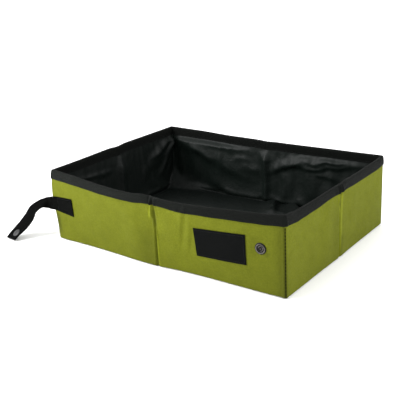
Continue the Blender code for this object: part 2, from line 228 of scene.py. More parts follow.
# Fabric finishes. Lengths are in metres on the cloth: yarn is the weave's pitch, lump is how wide
# the slow changes of shade are.
fabricLooks = {
    "oxford": {
        "color": (0.166, 0.185, 0.0100), "shade": (0.092, 0.104, 0.0050), "yarn": (0.00075, 0.00075),
        "weaveDepth": 0.55, "weaveShade": 0.30, "lump": 0.014, "fleck": 0.8,
        "roughness": (0.68, 0.84), "specular": 0.09, "crumple": 0.45, "crumpleSize": 0.009},
    "tape": {
        "color": (0.0074, 0.0090, 0.0074), "shade": (0.0042, 0.0052, 0.0042), "yarn": (0.0009, 0.0004),
        "weaveDepth": 0.6, "weaveShade": 0.35, "lump": 0.020, "fleck": 0.6,
        "roughness": (0.62, 0.78), "specular": 0.07, "crumple": 0.16, "crumpleSize": 0.006},
    "coated": {
        "color": (0.0030, 0.0060, 0.0045), "shade": (0.0018, 0.0036, 0.0026), "yarn": (0.0005, 0.0005),
        "weaveDepth": 0.10, "weaveShade": 0.15, "lump": 0.040, "fleck": 0.4,
        "roughness": (0.46, 0.60), "specular": 0.18, "crumple": 0.40, "crumpleSize": 0.012},
    "webbing": {
        "color": (0.0034, 0.0036, 0.0034), "shade": (0.0018, 0.0020, 0.0018), "yarn": (0.0016, 0.0011),
        "weaveDepth": 0.8, "weaveShade": 0.35, "lump": 0.015, "fleck": 0.5,
        "roughness": (0.66, 0.84), "specular": 0.02, "crumple": 0.05, "crumpleSize": 0.008},
    "satinPatch": {
        "color": (0.0030, 0.0034, 0.0034), "shade": (0.0018, 0.0021, 0.0021),
        "yarn": (0.00045, 0.0009), "weaveDepth": 0.5, "weaveShade": 0.30, "lump": 0.015, "fleck": 0.5,
        "roughness": (0.52, 0.66), "specular": 0.03, "crumple": 0.05, "crumpleSize": 0.008},
}
# What every fabric shares: the share of its shade colour kept under full painted shade, flecks to a
# yarn, how much the lumps count, and how often its relief's depth goes into a yarn or a crumple
weaving = {"paintedShading": 0.30, "flecks": 0.3, "lumpShade": 0.5, "depthsInYarn": 4, "depthsInCrumple": 6}


def startMaterial(name, look):
    material = bpy.data.materials.new(name)
    material.use_nodes = True
    shader = material.node_tree.nodes["Principled BSDF"]
    shader.inputs["Specular IOR Level"].default_value = look["specular"]
    return material, material.node_tree, shader


def finishMaterial(tree, shader, look, color, shade, relief):
    # the roughness changes with the shade
    rough = addNode(tree, "ShaderNodeMapRange", (-400, -150),
                    {"Value": shade, "To Min": look["roughness"][0], "To Max": look["roughness"][1]})
    for name, socket in (("Base Color", color), ("Roughness", rough.outputs[0]), ("Normal", relief)):
        tree.links.new(socket, shader.inputs[name])


def fabricMaterial(name):
    # plain weave from two crossed sets of yarns on the piece's own UV map, which is in metres
    look = fabricLooks[name]
    material, tree, shader = startMaterial(name, look)
    cloth = addNode(tree, "ShaderNodeUVMap", (-1700, 0), settings={"uv_map": "clothMap"}).outputs[0]
    place = addNode(tree, "ShaderNodeTexCoord", (-1700, -500)).outputs["Object"]
    split = addNode(tree, "ShaderNodeSeparateXYZ", (-1500, 0), {"Vector": cloth})
    waves = []
    for axis, height in enumerate((100, -100)):
        turn = mathNode(tree, "MULTIPLY", (-1300, height), split.outputs[axis], pi / look["yarn"][axis])
        waves.append(mathNode(tree, "SINE", (-1120, height), turn))
    weave = mathNode(tree, "MULTIPLY", (-940, 0), *waves)
    fleckScale = weaving["flecks"] / look["yarn"][0]
    flecks = noiseNode(tree, (-1300, -300), cloth, fleckScale, detail=2, roughness=0.6)
    lumps = noiseNode(tree, (-1300, -500), place, 1 / look["lump"], detail=3, roughness=0.55)
    crumple = noiseNode(tree, (-1300, -700), place, 1 / look["crumpleSize"], detail=2, distortion=0.6)
    weaveShade = mathNode(tree, "MULTIPLY", (-760, 100), weave, look["weaveShade"] / 2)
    fleckShade = mathNode(tree, "MULTIPLY", (-940, -250), flecks, look["fleck"])
    lumpShade = mathNode(tree, "MULTIPLY", (-940, -450), lumps, weaving["lumpShade"])
    shade = mathNode(tree, "ADD", (-760, -50), weaveShade, fleckShade)
    shade = mathNode(tree, "ADD", (-600, -50), shade, lumpShade)
    color = mixColor(tree, (-400, 100), shade, opaque(look["color"]), opaque(look["shade"]))
    # this attribute is painted shade where it is above zero, and painted highlights on folds where it
    # is below zero; pieces without it have none
    paintedShading = addNode(tree, "ShaderNodeAttribute", (-600, 350), settings={"attribute_name": "paintedShading"})
    paintedShadeColor = opaque([channel * weaving["paintedShading"] for channel in look["shade"]])
    color = mixColor(tree, (-200, 200), paintedShading.outputs["Fac"], color, paintedShadeColor, clamped=False)
    weaveBump = addNode(tree, "ShaderNodeBump", (-400, -400), {
        "Height": weave, "Strength": look["weaveDepth"],
        "Distance": look["yarn"][0] / weaving["depthsInYarn"]})
    softBump = addNode(tree, "ShaderNodeBump", (-200, -400), {
        "Height": crumple, "Strength": look["crumple"],
        "Distance": look["crumpleSize"] / weaving["depthsInCrumple"], "Normal": weaveBump.outputs[0]})
    finishMaterial(tree, shader, look, color, shade, softBump.outputs[0])
    return material


# Hard finishes: patches sets how wide the worn and clean areas are
hardLooks = {
    "gunmetal": {
        "color": (0.012, 0.011, 0.010), "worn": (0.190, 0.175, 0.160), "metallic": 0.95,
        "roughness": (0.26, 0.46), "patches": 0.0025, "grain": 0.0003, "grainDepth": 0.12,
        "specular": 0.50},
    # on the snap's blackened rings: dark metal at the outer edge, painted shade in its groove and hollow
    # centre
    "darkMetalAndShade": {
        "color": (0.002, 0.002, 0.002), "worn": (0.006, 0.005, 0.005), "metallic": 0.3,
        "roughness": (0.55, 0.70), "patches": 0.0020, "grain": 0.0003, "grainDepth": 0.12,
        "specular": 0.30},
    "snapCap": {
        "color": (0.024, 0.024, 0.025), "worn": (0.050, 0.050, 0.050), "metallic": 0.60,
        "roughness": (0.36, 0.52), "patches": 0.0025, "grain": 0.0003, "grainDepth": 0.12,
        "specular": 0.40},
    "fibreBoard": {
        "color": (0.013, 0.014, 0.013), "worn": (0.024, 0.025, 0.023), "metallic": 0.0,
        "roughness": (0.55, 0.75), "patches": 0.012, "grain": 0.0012, "grainDepth": 0.25,
        "specular": 0.30},
    "thread": {
        "color": (0.010, 0.011, 0.011), "worn": (0.024, 0.025, 0.025), "metallic": 0.0,
        "roughness": (0.55, 0.75), "patches": 0.0012, "grain": 0.0004, "grainDepth": 0.5,
        "specular": 0.05},
    # the sewn corner's thread, dark so that it also paints the shade of the seam's groove
    "seamThreadAndShade": {
        "color": (0.0040, 0.0046, 0.0008), "worn": (0.0100, 0.0115, 0.0018), "metallic": 0.0,
        "roughness": (0.6, 0.8), "patches": 0.0015, "grain": 0.0004, "grainDepth": 0.5,
        "specular": 0.04},
}


def hardMaterial(name):
    look = hardLooks[name]
    material, tree, shader = startMaterial(name, look)
    shader.inputs["Metallic"].default_value = look["metallic"]
    place = addNode(tree, "ShaderNodeTexCoord", (-1200, 0)).outputs["Object"]
    patches = noiseNode(tree, (-1000, 100), place, 1 / look["patches"], detail=3)
    grain = noiseNode(tree, (-1000, -250), place, 1 / look["grain"], detail=2)
    color = mixColor(tree, (-500, 100), patches, opaque(look["color"]), opaque(look["worn"]))
    bump = addNode(tree, "ShaderNodeBump", (-300, -300), {
        "Height": grain, "Strength": look["grainDepth"], "Distance": look["grain"] / 3})
    finishMaterial(tree, shader, look, color, patches, bump.outputs[0])
    return material


finishes = {name: fabricMaterial(name) for name in fabricLooks}
finishes.update({name: hardMaterial(name) for name in hardLooks})
for nodeName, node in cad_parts.items():
    if nodeName.endswith("_board"):
        node.data.materials.clear()
        node.data.materials.append(finishes["fibreBoard"])
    elif nodeName in ("snap_post", "strap_snap_socket"):
        node.data.materials.clear()
        node.data.materials.append(finishes["gunmetal"])
print("materials mixed")

# The ring of walls: the same outer faces, rim and bow as the solids. A place on it is the distance
# round the tray from the front left corner, past the front right, back right and back left ones.
ring = {
    "halfLength": 0.200, "halfWidth": 0.144, "rim": 0.107, "bindingLow": 0.0937,
    "cornerRadius": 0.0030, "sharpest": 0.0008, "cornerZone": 0.010, "creaseZone": 0.010,
    "innerDepth": 0.0045,
    # reach and step of the places near a corner, and the same on a corner's own sheet
    "nearCorner": (0.010, 0.0006), "cornerCoarse": 0.0009, "atCorner": (0.006, 0.0005),
    # bow of the front's rim, and how it dies away round the corners
    "bowAtCrease": 0.0125, "bowBetween": 0.0083, "bowPeak": 0.6, "bowPower": 1.2,
    "bowFade": 0.020, "bowFull": 1.4,
    # the front's lower edge stands out by the crease
    "baseBow": 0.0040, "baseBowAt": 0.030, "baseBowReach": 0.060, "baseBowPower": 1.5,
    # the front left corner is pulled out to the left, below the rim
    "bulge": 0.0060, "bulgeAt": 0.070, "bulgeTall": 0.034, "bulgeReach": 0.034, "bulgeDepth": 0.0030,
}
halfSize = np.array((ring["halfLength"], ring["halfWidth"]))
longSide, shortSide = ring["halfLength"] * 2, ring["halfWidth"] * 2
girth = 2 * (longSide + shortSide)
# begin is its place round the tray, along the way it runs, outward the way it faces, and first and
# second are the bodies before and after its crease
wallFacts = namedtuple("wallFacts", "name begin corner along outward length first second")
walls = (
    wallFacts("front", 0, (-1, -1), (1, 0), (0, -1), longSide, "front_left", "front_right"),
    wallFacts("right", longSide, (1, -1), (0, 1), (1, 0), shortSide, "right_front", "right_back"),
    wallFacts("back", longSide + shortSide, (1, 1), (-1, 0), (0, 1), longSide,
              "back_right", "back_left"),
    wallFacts("left", 2 * longSide + shortSide, (-1, 1), (0, -1), (-1, 0), shortSide,
              "left_back", "left_front"),
)
openCorner = longSide   # front_right and right_front have no joint between them


def onWalls(place):
    # each wall, which of the places are on it, and how far along it they are
    for wall in walls:
        here = (place >= wall.begin) & (place < wall.begin + wall.length)
        if here.any():
            yield wall, here, place[here] - wall.begin


def frontBow(x, height):
    share = np.minimum(np.abs(x) / ring["halfLength"], 1)
    rim = (ring["bowAtCrease"] * (1 - share)
           + ring["bowBetween"] * np.sin(pi * share ** ring["bowPeak"]))
    return rim * (np.maximum(height, 0) / ring["rim"]) ** ring["bowPower"]


def planPoint(place, depth):
    # plan position and outward direction at a depth from the outer face, corners rounded
    place = np.mod(place, girth)
    depth = np.broadcast_to(depth, place.shape)
    radius = np.maximum(ring["cornerRadius"] - depth, ring["sharpest"])
    spot, out = np.zeros((len(place), 2)), np.zeros((len(place), 2))
    for wall, here, run in onWalls(place):
        near = np.minimum(run, wall.length - run)
        side = np.where(run < wall.length - run, -1.0, 1.0)
        deep, bend = depth[here], radius[here]
        arc = bend * pi / 4
        travelled = (arc + ring["cornerZone"] - deep - bend) * np.clip(near / ring["cornerZone"], 0, 1)
        onArc = travelled < arc
        angle = np.where(onArc, pi / 4 - travelled / bend, 0)
        straight = np.where(near < ring["cornerZone"], deep + bend + travelled - arc, near)
        fromCorner = np.where(onArc, deep + bend * (1 - np.sin(angle)), straight)
        inset = np.where(onArc, deep + bend * (1 - np.cos(angle)), deep)
        run = np.where(side < 0, fromCorner, wall.length - fromCorner)
        along, outward = np.array(wall.along, float), np.array(wall.outward, float)
        spot[here] = wall.corner * halfSize + run[:, None] * along - inset[:, None] * outward
        out[here] = outward * np.cos(angle)[:, None] + along * (side * np.sin(angle))[:, None]
    return spot, out


# How far the rim stands above level, in metres, at places round the tray
rimRises = (
    (0.000, 0.0030), (0.050, 0.0026), (0.080, 0.0014), (0.110, 0.0002), (0.150, -0.0007),
    (0.172, -0.0008), (0.187, 0.0004), (0.198, -0.0008), (0.245, -0.0009), (0.290, 0.0000),
    (0.340, 0.0012), (0.370, 0.0018), (0.392, 0.0034), (0.400, 0.0036), (0.412, 0.0026),
    (0.430, 0.0002), (0.480, -0.0008), (0.525, -0.0004), (0.544, 0.0008), (0.556, 0.0000),
    (0.600, -0.0008), (0.660, -0.0002), (0.688, 0.0016), (0.740, 0.0010), (0.860, 0.0000),
    (0.888, 0.0002), (0.950, 0.0006), (1.030, 0.0028), (1.088, 0.0034), (1.230, 0.0042),
    (1.376, 0.0030),
)


def rimRise(place):
    # smooth through the listed rises
    places, rises = np.array(rimRises).T
    turned = np.mod(place, girth)
    index = np.clip(np.searchsorted(places, turned) - 1, 0, len(places) - 2)
    share = (turned - places[index]) / (places[index + 1] - places[index])
    return rises[index] + (rises[index + 1] - rises[index]) * smoothStep(share)


def baseBow(x, height):
    upward = np.clip(1 - height / ring["rim"], 0, 1) ** ring["baseBowPower"]
    return ring["baseBow"] * bell(x + ring["baseBowAt"], ring["baseBowReach"]) * upward


def cornerBulge(x, y, height):
    off = np.hypot(x + ring["halfLength"], y + ring["halfWidth"])
    return ring["bulge"] * bell(off, ring["bulgeReach"]) * bell(height - ring["bulgeAt"], ring["bulgeTall"])


def wallPoint(place, height, depth, proud):
    # point on a wall: depth is into the wall, and proud stands out of it along its normal
    spot, out = planPoint(place, depth)
    spot = spot + out * np.broadcast_to(proud, place.shape)[:, None]
    outer = 1 - smoothStep(np.broadcast_to(depth, place.shape) / ring["bulgeDepth"])
    spot[:, 0] -= cornerBulge(spot[:, 0], spot[:, 1], height) * outer
    facing = (-spot[:, 1] - ring["halfWidth"] + ring["bowFade"]) / ring["bowFade"] * ring["bowFull"]
    spot[:, 1] -= (frontBow(spot[:, 0], height) + baseBow(spot[:, 0], height)) * smoothStep(facing)
    lift = rimRise(place) * (np.maximum(height, 0) / ring["rim"]) ** 2
    return np.column_stack((spot, height + lift))


def stations(start, end, coarse, details):
    # places from start to end, closer together near each (place, reach, step) of details
    places = [start]
    while end - places[-1] > tiny:
        step = coarse
        for centre, reach, fine in details:
            share = abs(places[-1] - centre) / reach
            if share < 1:
                step = min(step, fine + (coarse - fine) * share)
        left = end - places[-1]
        places.append(end if left < step * lastStep else places[-1] + step)
    return np.array(places)


def evenly(start, end, pitch):
    # middles of equal steps of about the pitch
    count = max(int((end - start) / pitch), 1)
    return start + (np.arange(count) + 0.5) * (end - start) / count


def storePaintedShading(mesh, paintedShading):
    # painted shade above zero and painted highlight below zero, at each point
    mesh.attributes.new("paintedShading", "FLOAT", "POINT").data.foreach_set("value", np.asarray(paintedShading, np.float32))


def gridQuads(columns, rows):
    column, row = np.meshgrid(np.arange(columns - 1), np.arange(rows - 1), indexing="ij")
    first = (column * rows + row).ravel()
    return np.column_stack((first, first + rows, first + rows + 1, first + 1))


def ringQuads(rings):
    # quads between closed rings of point numbers, each ring a row
    turned = np.roll(rings, -1, axis=1)
    return np.stack((rings[:-1], rings[1:], turned[1:], turned[:-1]), axis=-1).reshape(-1, 4)


def quadCrosses(points, quads):
    # cross product of each quad's diagonals, twice its area long
    corners = points[quads]
    return np.cross(corners[:, 2] - corners[:, 0], corners[:, 3] - corners[:, 1])


def shellPiece(name, points, normals, quads, clothMap, thickness, material, paintedShading=None):
    # closed thin shell: a sheet of quads on points, thickened the other way from its normals
    used, flat = np.unique(quads, return_inverse=True)
    quads = flat.reshape(quads.shape)
    points, normals, clothMap = points[used], normals[used], clothMap[used]
    count = len(points)
    sides = np.concatenate([quads[:, [corner, (corner + 1) % 4]] for corner in range(4)])
    index, uses = np.unique(np.sort(sides, axis=1), axis=0, return_inverse=True,
                            return_counts=True)[1:]
    rim = sides[uses[index.ravel()] == 1]
    edge = np.column_stack((rim[:, 1], rim[:, 0], rim[:, 0] + count, rim[:, 1] + count))
    faces = np.concatenate((quads, quads[:, ::-1] + count, edge))
    allPoints = np.concatenate((points, points - normals * thickness))
    piece = addPiece(name, allPoints, faces.tolist(), material)
    layer = piece.data.uv_layers.new(name="clothMap")
    layer.data.foreach_set("uv", np.concatenate((clothMap, clothMap))[faces.ravel()].ravel())
    cornerNormals = np.concatenate((normals, -normals))[faces.ravel()]
    cornerNormals[-len(edge) * 4:] = np.repeat(unitRows(quadCrosses(allPoints, edge)), 4, axis=0)
    piece.data.normals_split_custom_set(cornerNormals.tolist())
    if paintedShading is not None:
        storePaintedShading(piece.data, np.tile(paintedShading[used], 2))
    return piece


def surfaceWays(surface, place, row, step, rowStep, back=1):
    # unit vectors along a surface, up it and out of it, from short steps ahead and back on it
    along = surface(place + step, row) - surface(place - step * back, row)
    rise = surface(place, row + rowStep) - surface(place, row - rowStep * back)
    return unitRows(along), unitRows(rise), unitRows(np.cross(along, rise))


def surfacePiece(name, surface, places, rows, thickness, material, paintedShading=None):
    # sheet laid on surface(place, row), its normals taken from the surface itself
    place, row = (values.ravel() for values in np.meshgrid(places, rows, indexing="ij"))
    normals = surfaceWays(surface, place, row, sheetFeel, sheetFeel)[2]
    return shellPiece(name, surface(place, row), normals, gridQuads(len(places), len(rows)),
                      np.column_stack((place, row)), thickness, material,
                      None if paintedShading is None else paintedShading(place, row))


def ringSpans(coarse, crease):
    # the stretches of the ring that are a sheet each: every wall short of its folding corners, and
    # each of those corners, with the wall after it. crease is the reach and step at a wall's middle.
    zone = ring["cornerZone"]
    for number, wall in enumerate(walls):
        edge, after = wall.begin + wall.length, walls[(number + 1) % 4]
        start = wall.begin + (0 if wall.begin == openCorner else zone)
        end = edge - (0 if edge == openCorner else zone)
        details = [(wall.begin + wall.length / 2, *crease)]
        details += [(corner, *ring["nearCorner"]) for corner in (wall.begin, edge)]
        yield wall, None, wall.name, stations(start, end, coarse, details)
        if edge != openCorner:
            yield wall, after, wall.name + after.name.capitalize() + "Corner", stations(
                edge - zone, edge + zone, ring["cornerCoarse"], [(edge, *ring["atCorner"])])


def rideRing(piece, wall, after=None):
    # a wall's or a corner's piece has its place baked into its mesh;
    # the crease and corner points worked out here are not used
    if after is None:
        middle = flatVector(wall.corner * halfSize + np.array(wall.along) * wall.length / 2)
        reach = flatVector(wall.along) * ring["creaseZone"]
        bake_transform(piece)
        return
    corner = flatVector(after.corner * halfSize)
    deep, zone = ring["innerDepth"], ring["cornerZone"]
    corner - flatVector(wall.along) * zone - flatVector(wall.outward) * deep
    corner + flatVector(after.along) * zone - flatVector(after.outward) * deep
    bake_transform(piece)


# Folds of the outer cover, as strokes on a wall: start and end (along the wall, height), half
# width, and how far the fold stands out. All in metres.
coverFolds = {
    "front": (
        (0.1968, 0.096, 0.1938, 0.074, 0.0026, 0.0030),
        (0.1925, 0.095, 0.1880, 0.080, 0.0028, 0.0007),
        (0.2030, 0.096, 0.2065, 0.078, 0.0026, 0.0012),
        (0.2090, 0.095, 0.2130, 0.083, 0.0030, 0.0006),
        (0.2026, 0.060, 0.2018, 0.001, 0.0017, 0.0021),
        (0.1960, 0.078, 0.1972, 0.001, 0.0022, 0.0007),
        (0.1560, 0.085, 0.1700, 0.004, 0.0160, 0.0022),
        (0.2300, 0.090, 0.2240, 0.006, 0.0140, 0.0014),
        (0.0900, 0.080, 0.1000, 0.020, 0.0220, 0.0010),
        (0.3300, 0.088, 0.3200, 0.010, 0.0300, 0.0012),
    ),
    "right": (
        (0.1442, 0.092, 0.1462, 0.001, 0.0017, 0.0014),
        (0.1402, 0.096, 0.1392, 0.078, 0.0019, 0.0011),
        (0.1492, 0.096, 0.1530, 0.080, 0.0022, 0.0009),
        (0.1350, 0.096, 0.1300, 0.084, 0.0026, 0.0005),
        (0.1120, 0.085, 0.1080, 0.006, 0.0150, 0.0016),
        (0.1800, 0.085, 0.1850, 0.006, 0.0160, 0.0010),
    ),
    "back": (
        (0.1975, 0.096, 0.1955, 0.078, 0.0024, 0.0012),
        (0.2030, 0.096, 0.2070, 0.080, 0.0028, 0.0009),
        (0.2022, 0.080, 0.2015, 0.001, 0.0020, 0.0012),
        (0.1600, 0.085, 0.1700, 0.004, 0.0160, 0.0016),
        (0.2350, 0.085, 0.2300, 0.006, 0.0160, 0.0012),
    ),
    "left": (
        (0.1420, 0.096, 0.1405, 0.078, 0.0022, 0.0011),
        (0.1470, 0.096, 0.1500, 0.082, 0.0026, 0.0008),
        (0.1456, 0.085, 0.1450, 0.001, 0.0019, 0.0012),
        (0.1100, 0.085, 0.1150, 0.006, 0.0150, 0.0013),
        (0.1800, 0.085, 0.1760, 0.006, 0.0150, 0.0012),
    ),
}
cover = {
    "thickness": 0.0005, "low": 0.0009, "high": 0.1046, "tuck": 0.0012, "tuckHeight": 0.0022,
    "coarse": 0.0032, "creaseSteps": (0.045, 0.0006), "underRim": 0.75,
    "cornerProud": 0.0007, "cornerReach": 0.0055, "foldReach": 0.010,
    "creaseWidth": 0.0018, "creaseReach": 0.022, "creaseLean": 0.0090,
    "creaseShoulder": {"front": 0.0017, "right": 0.0006, "back": 0.0017, "left": 0.0017},
    "rippleDepth": 0.00040, "rippleSize": 0.017, "waveDepth": 0.0013, "waveSize": 0.055,
    # the cloth lies flat this near to a corner and to a crease
    "calmCorner": 0.012, "calmCrease": 0.0006, "calmReach": 0.004,
    # fine upright ribs on the front: where they start and end, and above which height
    "ribDepth": 0.00018, "ribPitch": 0.0027, "ribSlant": 3, "ribsFrom": 0.238, "ribsIn": 0.006,
    "ribsTo": 0.268, "ribsOut": 0.012, "ribsLow": 0.02, "ribsRise": 0.03,
    # puckers along the sewn corner
    "seamBump": 0.0005, "seamBumpPitch": 0.0055, "seamBumpSize": 0.011, "seamBumpAt": 0.0022,
    "seamBumpReach": 0.0018,
    # round the snap, which holds the cloth against its board
    "snapPlace": 0.3663, "snapHeight": 0.0612, "snapRadius": 0.0075, "snapReach": 0.011,
}
strokeEnds = {"cover": (0.12, 0.25, 1.12, 0.45), "liner": (0.20, 0.45, 1.20, 0.60)}


def strokeShape(along, height, stroke, ends):
    # how far points of a wall are above a stroke, and how much of it there is along its length:
    # it comes in from before its start and goes out past its end
    startAlong, startHeight, endAlong, endHeight = stroke[:4]
    way = np.array((endAlong - startAlong, endHeight - startHeight))
    length = np.hypot(*way)
    share = ((along - startAlong) * way[0] + (height - startHeight) * way[1]) / length ** 2
    off = ((height - startHeight) * way[0] - (along - startAlong) * way[1]) / length
    before, rise, past, fall = ends
    return off * (1 if way[0] >= 0 else -1), smoothStep((share + before) / rise) * smoothStep(
        (past - share) / fall)


def foldHeight(along, height, folds):
    # sum of a wall's strokes at points of it
    total = np.zeros(len(along))
    for fold in folds:
        off, fade = strokeShape(along, height, fold, strokeEnds["cover"])
        total += fold[5] * bell(off, fold[4]) * fade
    return total


def uprightRun(name, run, height, length):
    # the front's crease leans to the right on the way up: places on that wall as if it didn't
    if name != "front":
        return run
    bend = length / 2 + cover["creaseLean"] * np.clip(height / ring["rim"], 0, 1)
    return np.where(run < bend, run / bend, 1 + (run - bend) / (length - bend)) * length / 2


def frontRibs(run, height):
    within = smoothStep((run - cover["ribsFrom"]) / cover["ribsIn"]) * smoothStep(
        (cover["ribsTo"] - run) / cover["ribsOut"])
    upward = smoothStep((height - cover["ribsLow"]) / cover["ribsRise"])
    wave = 1 + np.sin(2 * pi * run / cover["ribPitch"] + cover["ribSlant"] * height / ring["rim"])
    return cover["ribDepth"] * within * upward * wave


def coverProud(place, height):
    # how far the outer cover stands proud of its board: pillows, creases, folds and ripples
    place = np.mod(place, girth)
    below = np.minimum(height, ring["bindingLow"])
    proud = np.zeros(len(place))
    for wall, here, run in onWalls(place):
        run, tall = uprightRun(wall.name, run, height[here], wall.length), below[here]
        fromCorner = np.minimum(run, wall.length - run)
        fromCrease = np.abs(run - wall.length / 2)
        shoulder = cover["creaseShoulder"][wall.name] * (1 - bell(fromCrease, cover["creaseWidth"]))
        shoulder *= bell(fromCrease, cover["creaseReach"])
        flat = np.column_stack((place[here], tall, tall * 0))
        calm = smoothStep(fromCorner / cover["calmCorner"]) * smoothStep(
            (fromCrease - cover["calmCrease"]) / cover["calmReach"])
        wave = cover["waveDepth"] * (0.5 + 0.5 * softNoise(flat, cover["waveSize"], seed=1))
        ripple = cover["rippleDepth"] * (0.5 + 0.5 * softNoise(flat, cover["rippleSize"], seed=2))
        edge = cover["cornerProud"] * bell(fromCorner, cover["cornerReach"])
        folds = foldHeight(run, tall, coverFolds[wall.name])
        if wall.name == "front":
            folds += frontRibs(run, tall)
        proud[here] = shoulder + (wave + ripple) * calm + edge + folds * smoothStep(
            fromCorner / cover["foldReach"])
    fromSeam = np.abs(place - openCorner)
    bumps = 1 + np.sin(2 * pi * below / cover["seamBumpPitch"]) * lineNoise(
        below, cover["seamBumpSize"], 3)
    proud += cover["seamBump"] * bumps * bell(fromSeam - cover["seamBumpAt"], cover["seamBumpReach"])
    fromSnap = np.hypot(place - cover["snapPlace"], height - cover["snapHeight"])
    proud *= smoothStep((fromSnap - cover["snapRadius"]) / cover["snapReach"])
    rimShare = (height - ring["bindingLow"]) / (ring["rim"] - ring["bindingLow"])
    return proud * (1 - cover["underRim"] * smoothStep(rimShare))


# Painted shade on the cover: darker towards the base, at the front's right end, beside the creases,
# at the front left corner and along the sewn corner
paintedCoverShades = {
    "base": 0.15, "baseReach": 0.085, "seam": 0.32, "seamReach": 0.012, "end": 0.17, "endFrom": 0.275,
    "crease": 0.26, "creaseAt": 0.012, "creaseReach": 0.020, "creaseTop": 0.075, "creaseSharp": 0.002,
    "rightCrease": 0.13, "rightCreaseAt": 0.013, "rightCreaseReach": 0.013,
    "corner": 0.55, "cornerReach": 0.012, "cornerTop": 0.045, "cornerOut": 0.008, "cornerIn": 0.025,
    "seamLine": 0.60, "seamLineReach": 0.0010, "seamLineFade": 0.6, "seamRight": 0.20,
    "seamRightReach": 0.007, "seamRightTop": 0.075,
    # strokes of painted shade in folds and of a painted shadow by the snap, and of painted highlights
    # on fold edges where the amount is below zero: the same numbers as a fold's, with the amount last
    "strokes": {
        "front": (
            (0.1996, 0.088, 0.2000, 0.060, 0.0030, 0.50),
            (0.2001, 0.052, 0.2000, 0.002, 0.0011, 0.45),
            (0.1948, 0.098, 0.1906, 0.074, 0.0019, -0.85),
            (0.2030, 0.050, 0.2027, -0.006, 0.0015, -0.70),
            (0.2090, 0.096, 0.2070, 0.045, 0.0070, -0.14),
            (0.2480, 0.110, 0.2440, -0.010, 0.0350, -0.10),
            (0.3742, 0.0560, 0.3765, 0.0520, 0.0030, 0.30),
        ),
        "right": (
            (0.1416, 0.094, 0.1446, 0.070, 0.0013, 0.55),
            (0.1480, 0.096, 0.1478, 0.090, 0.0008, 0.45),
            (0.1380, 0.093, 0.1444, 0.066, 0.0016, -0.45),
            (0.1500, 0.096, 0.1456, 0.010, 0.0021, -0.60),
            (0.1508, 0.032, 0.1484, -0.002, 0.0040, 0.26),
        ),
    },
}


def coverPaintedShading(place, height):
    shading, place = paintedCoverShades, np.mod(place, girth)
    onFront = (place < openCorner).astype(float)
    # painted shade towards the base
    paintedShading = shading["base"] * np.clip(1 - height / shading["baseReach"], 0, 1)
    paintedShading += onFront * shading["seam"] * bell(openCorner - place, shading["seamReach"])
    paintedShading += onFront * shading["end"] * smoothStep((place - shading["endFrom"]) / (openCorner - shading["endFrom"]))
    # painted shade before the creases
    left = openCorner / 2 + cover["creaseLean"] * height / ring["rim"] - place
    beside = bell(left - shading["creaseAt"], shading["creaseReach"]) * smoothStep(left / shading["creaseSharp"])
    paintedShading += onFront * shading["crease"] * beside * smoothStep(2 - 2 * height / shading["creaseTop"])
    left = openCorner + shortSide / 2 - place
    beside = bell(left - shading["rightCreaseAt"], shading["rightCreaseReach"])
    paintedShading += shading["rightCrease"] * beside * smoothStep(left / shading["creaseSharp"]) * smoothStep(
        2 - 2 * height / ring["rim"])
    # painted shade at the front left corner
    paintedShading += shading["corner"] * smoothStep(2 - place * 2 / shading["cornerReach"]) * smoothStep(
        (shading["cornerTop"] - height) / shading["cornerOut"]) * smoothStep(height / shading["cornerIn"])
    # painted shade along the sewn corner, and on the right wall beside it
    lower = 1 - shading["seamLineFade"] * np.clip(height / ring["rim"], 0, 1)
    paintedShading += shading["seamLine"] * lower * bell(place - openCorner, shading["seamLineReach"])
    paintedShading += (1 - onFront) * shading["seamRight"] * smoothStep(
        2 - 2 * height / shading["seamRightTop"]) * bell(place - openCorner, shading["seamRightReach"])
    for wall, here, run in onWalls(place):
        if wall.name in shading["strokes"]:
            run = uprightRun(wall.name, run, height[here], wall.length)
            paintedShading[here] += foldHeight(run, height[here], shading["strokes"][wall.name])
    return paintedShading


def coverSurface(place, height):
    tuck = cover["tuck"] * np.clip(1 - height / cover["tuckHeight"], 0, 1) ** 2
    return wallPoint(place, height, tuck, coverProud(place, height))


# Heights of the cover's rows: start, end and count of each band, closer together at both edges
coverRows = np.unique(np.concatenate([np.linspace(*band) for band in (
    (cover["low"], 0.006, 5), (0.008, 0.070, 26), (0.070, ring["bindingLow"], 17),
    (ring["bindingLow"] + 0.003, cover["high"], 4))]))


def buildCovers():
    for wall, after, name, places in ringSpans(cover["coarse"], cover["creaseSteps"]):
        piece = surfacePiece(name + "Cover", coverSurface, places, coverRows, cover["thickness"],
                             finishes["oxford"], coverPaintedShading)
        if not after:
            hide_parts(wall.first + "_cover", wall.second + "_cover")
        rideRing(piece, wall, after)


buildCovers()
print("outer cover sewn")

# Rim binding: a tape folded over the rim, its rows going up the outer leaf and down the inner one
binding = {
    "thickness": 0.0006, "outerDepth": -0.0009, "innerDepth": 0.0042, "leafDepth": 0.0016,
    "waveDepth": 0.0004, "waveSize": 0.018, "edgeWave": 0.0004, "edgeWaveSize": 0.022,
    "leafRows": 6, "archRows": 9, "coarse": 0.0032, "creaseSteps": (0.030, 0.00063), "tape": 0.0315,
    # how far it puffs out, as shares from the edge of a leaf to its top, on the arch and inside
    "puff": 0.0005, "puffSpan": (0.12, 0.9), "archPuff": 0.2, "innerPuff": 0.6, "innerFold": 0.4,
    "creaseDip": {"front": 0.0, "right": 0.0016, "back": 0.0011, "left": 0.0016},
    "creaseDipReach": 0.012,
    # where the tape's lower edge is drawn up: place round the tray, reach and how far
    "drawnUp": ((0.216, 0.024, 0.0034), (0.525, 0.060, 0.0022)),
}
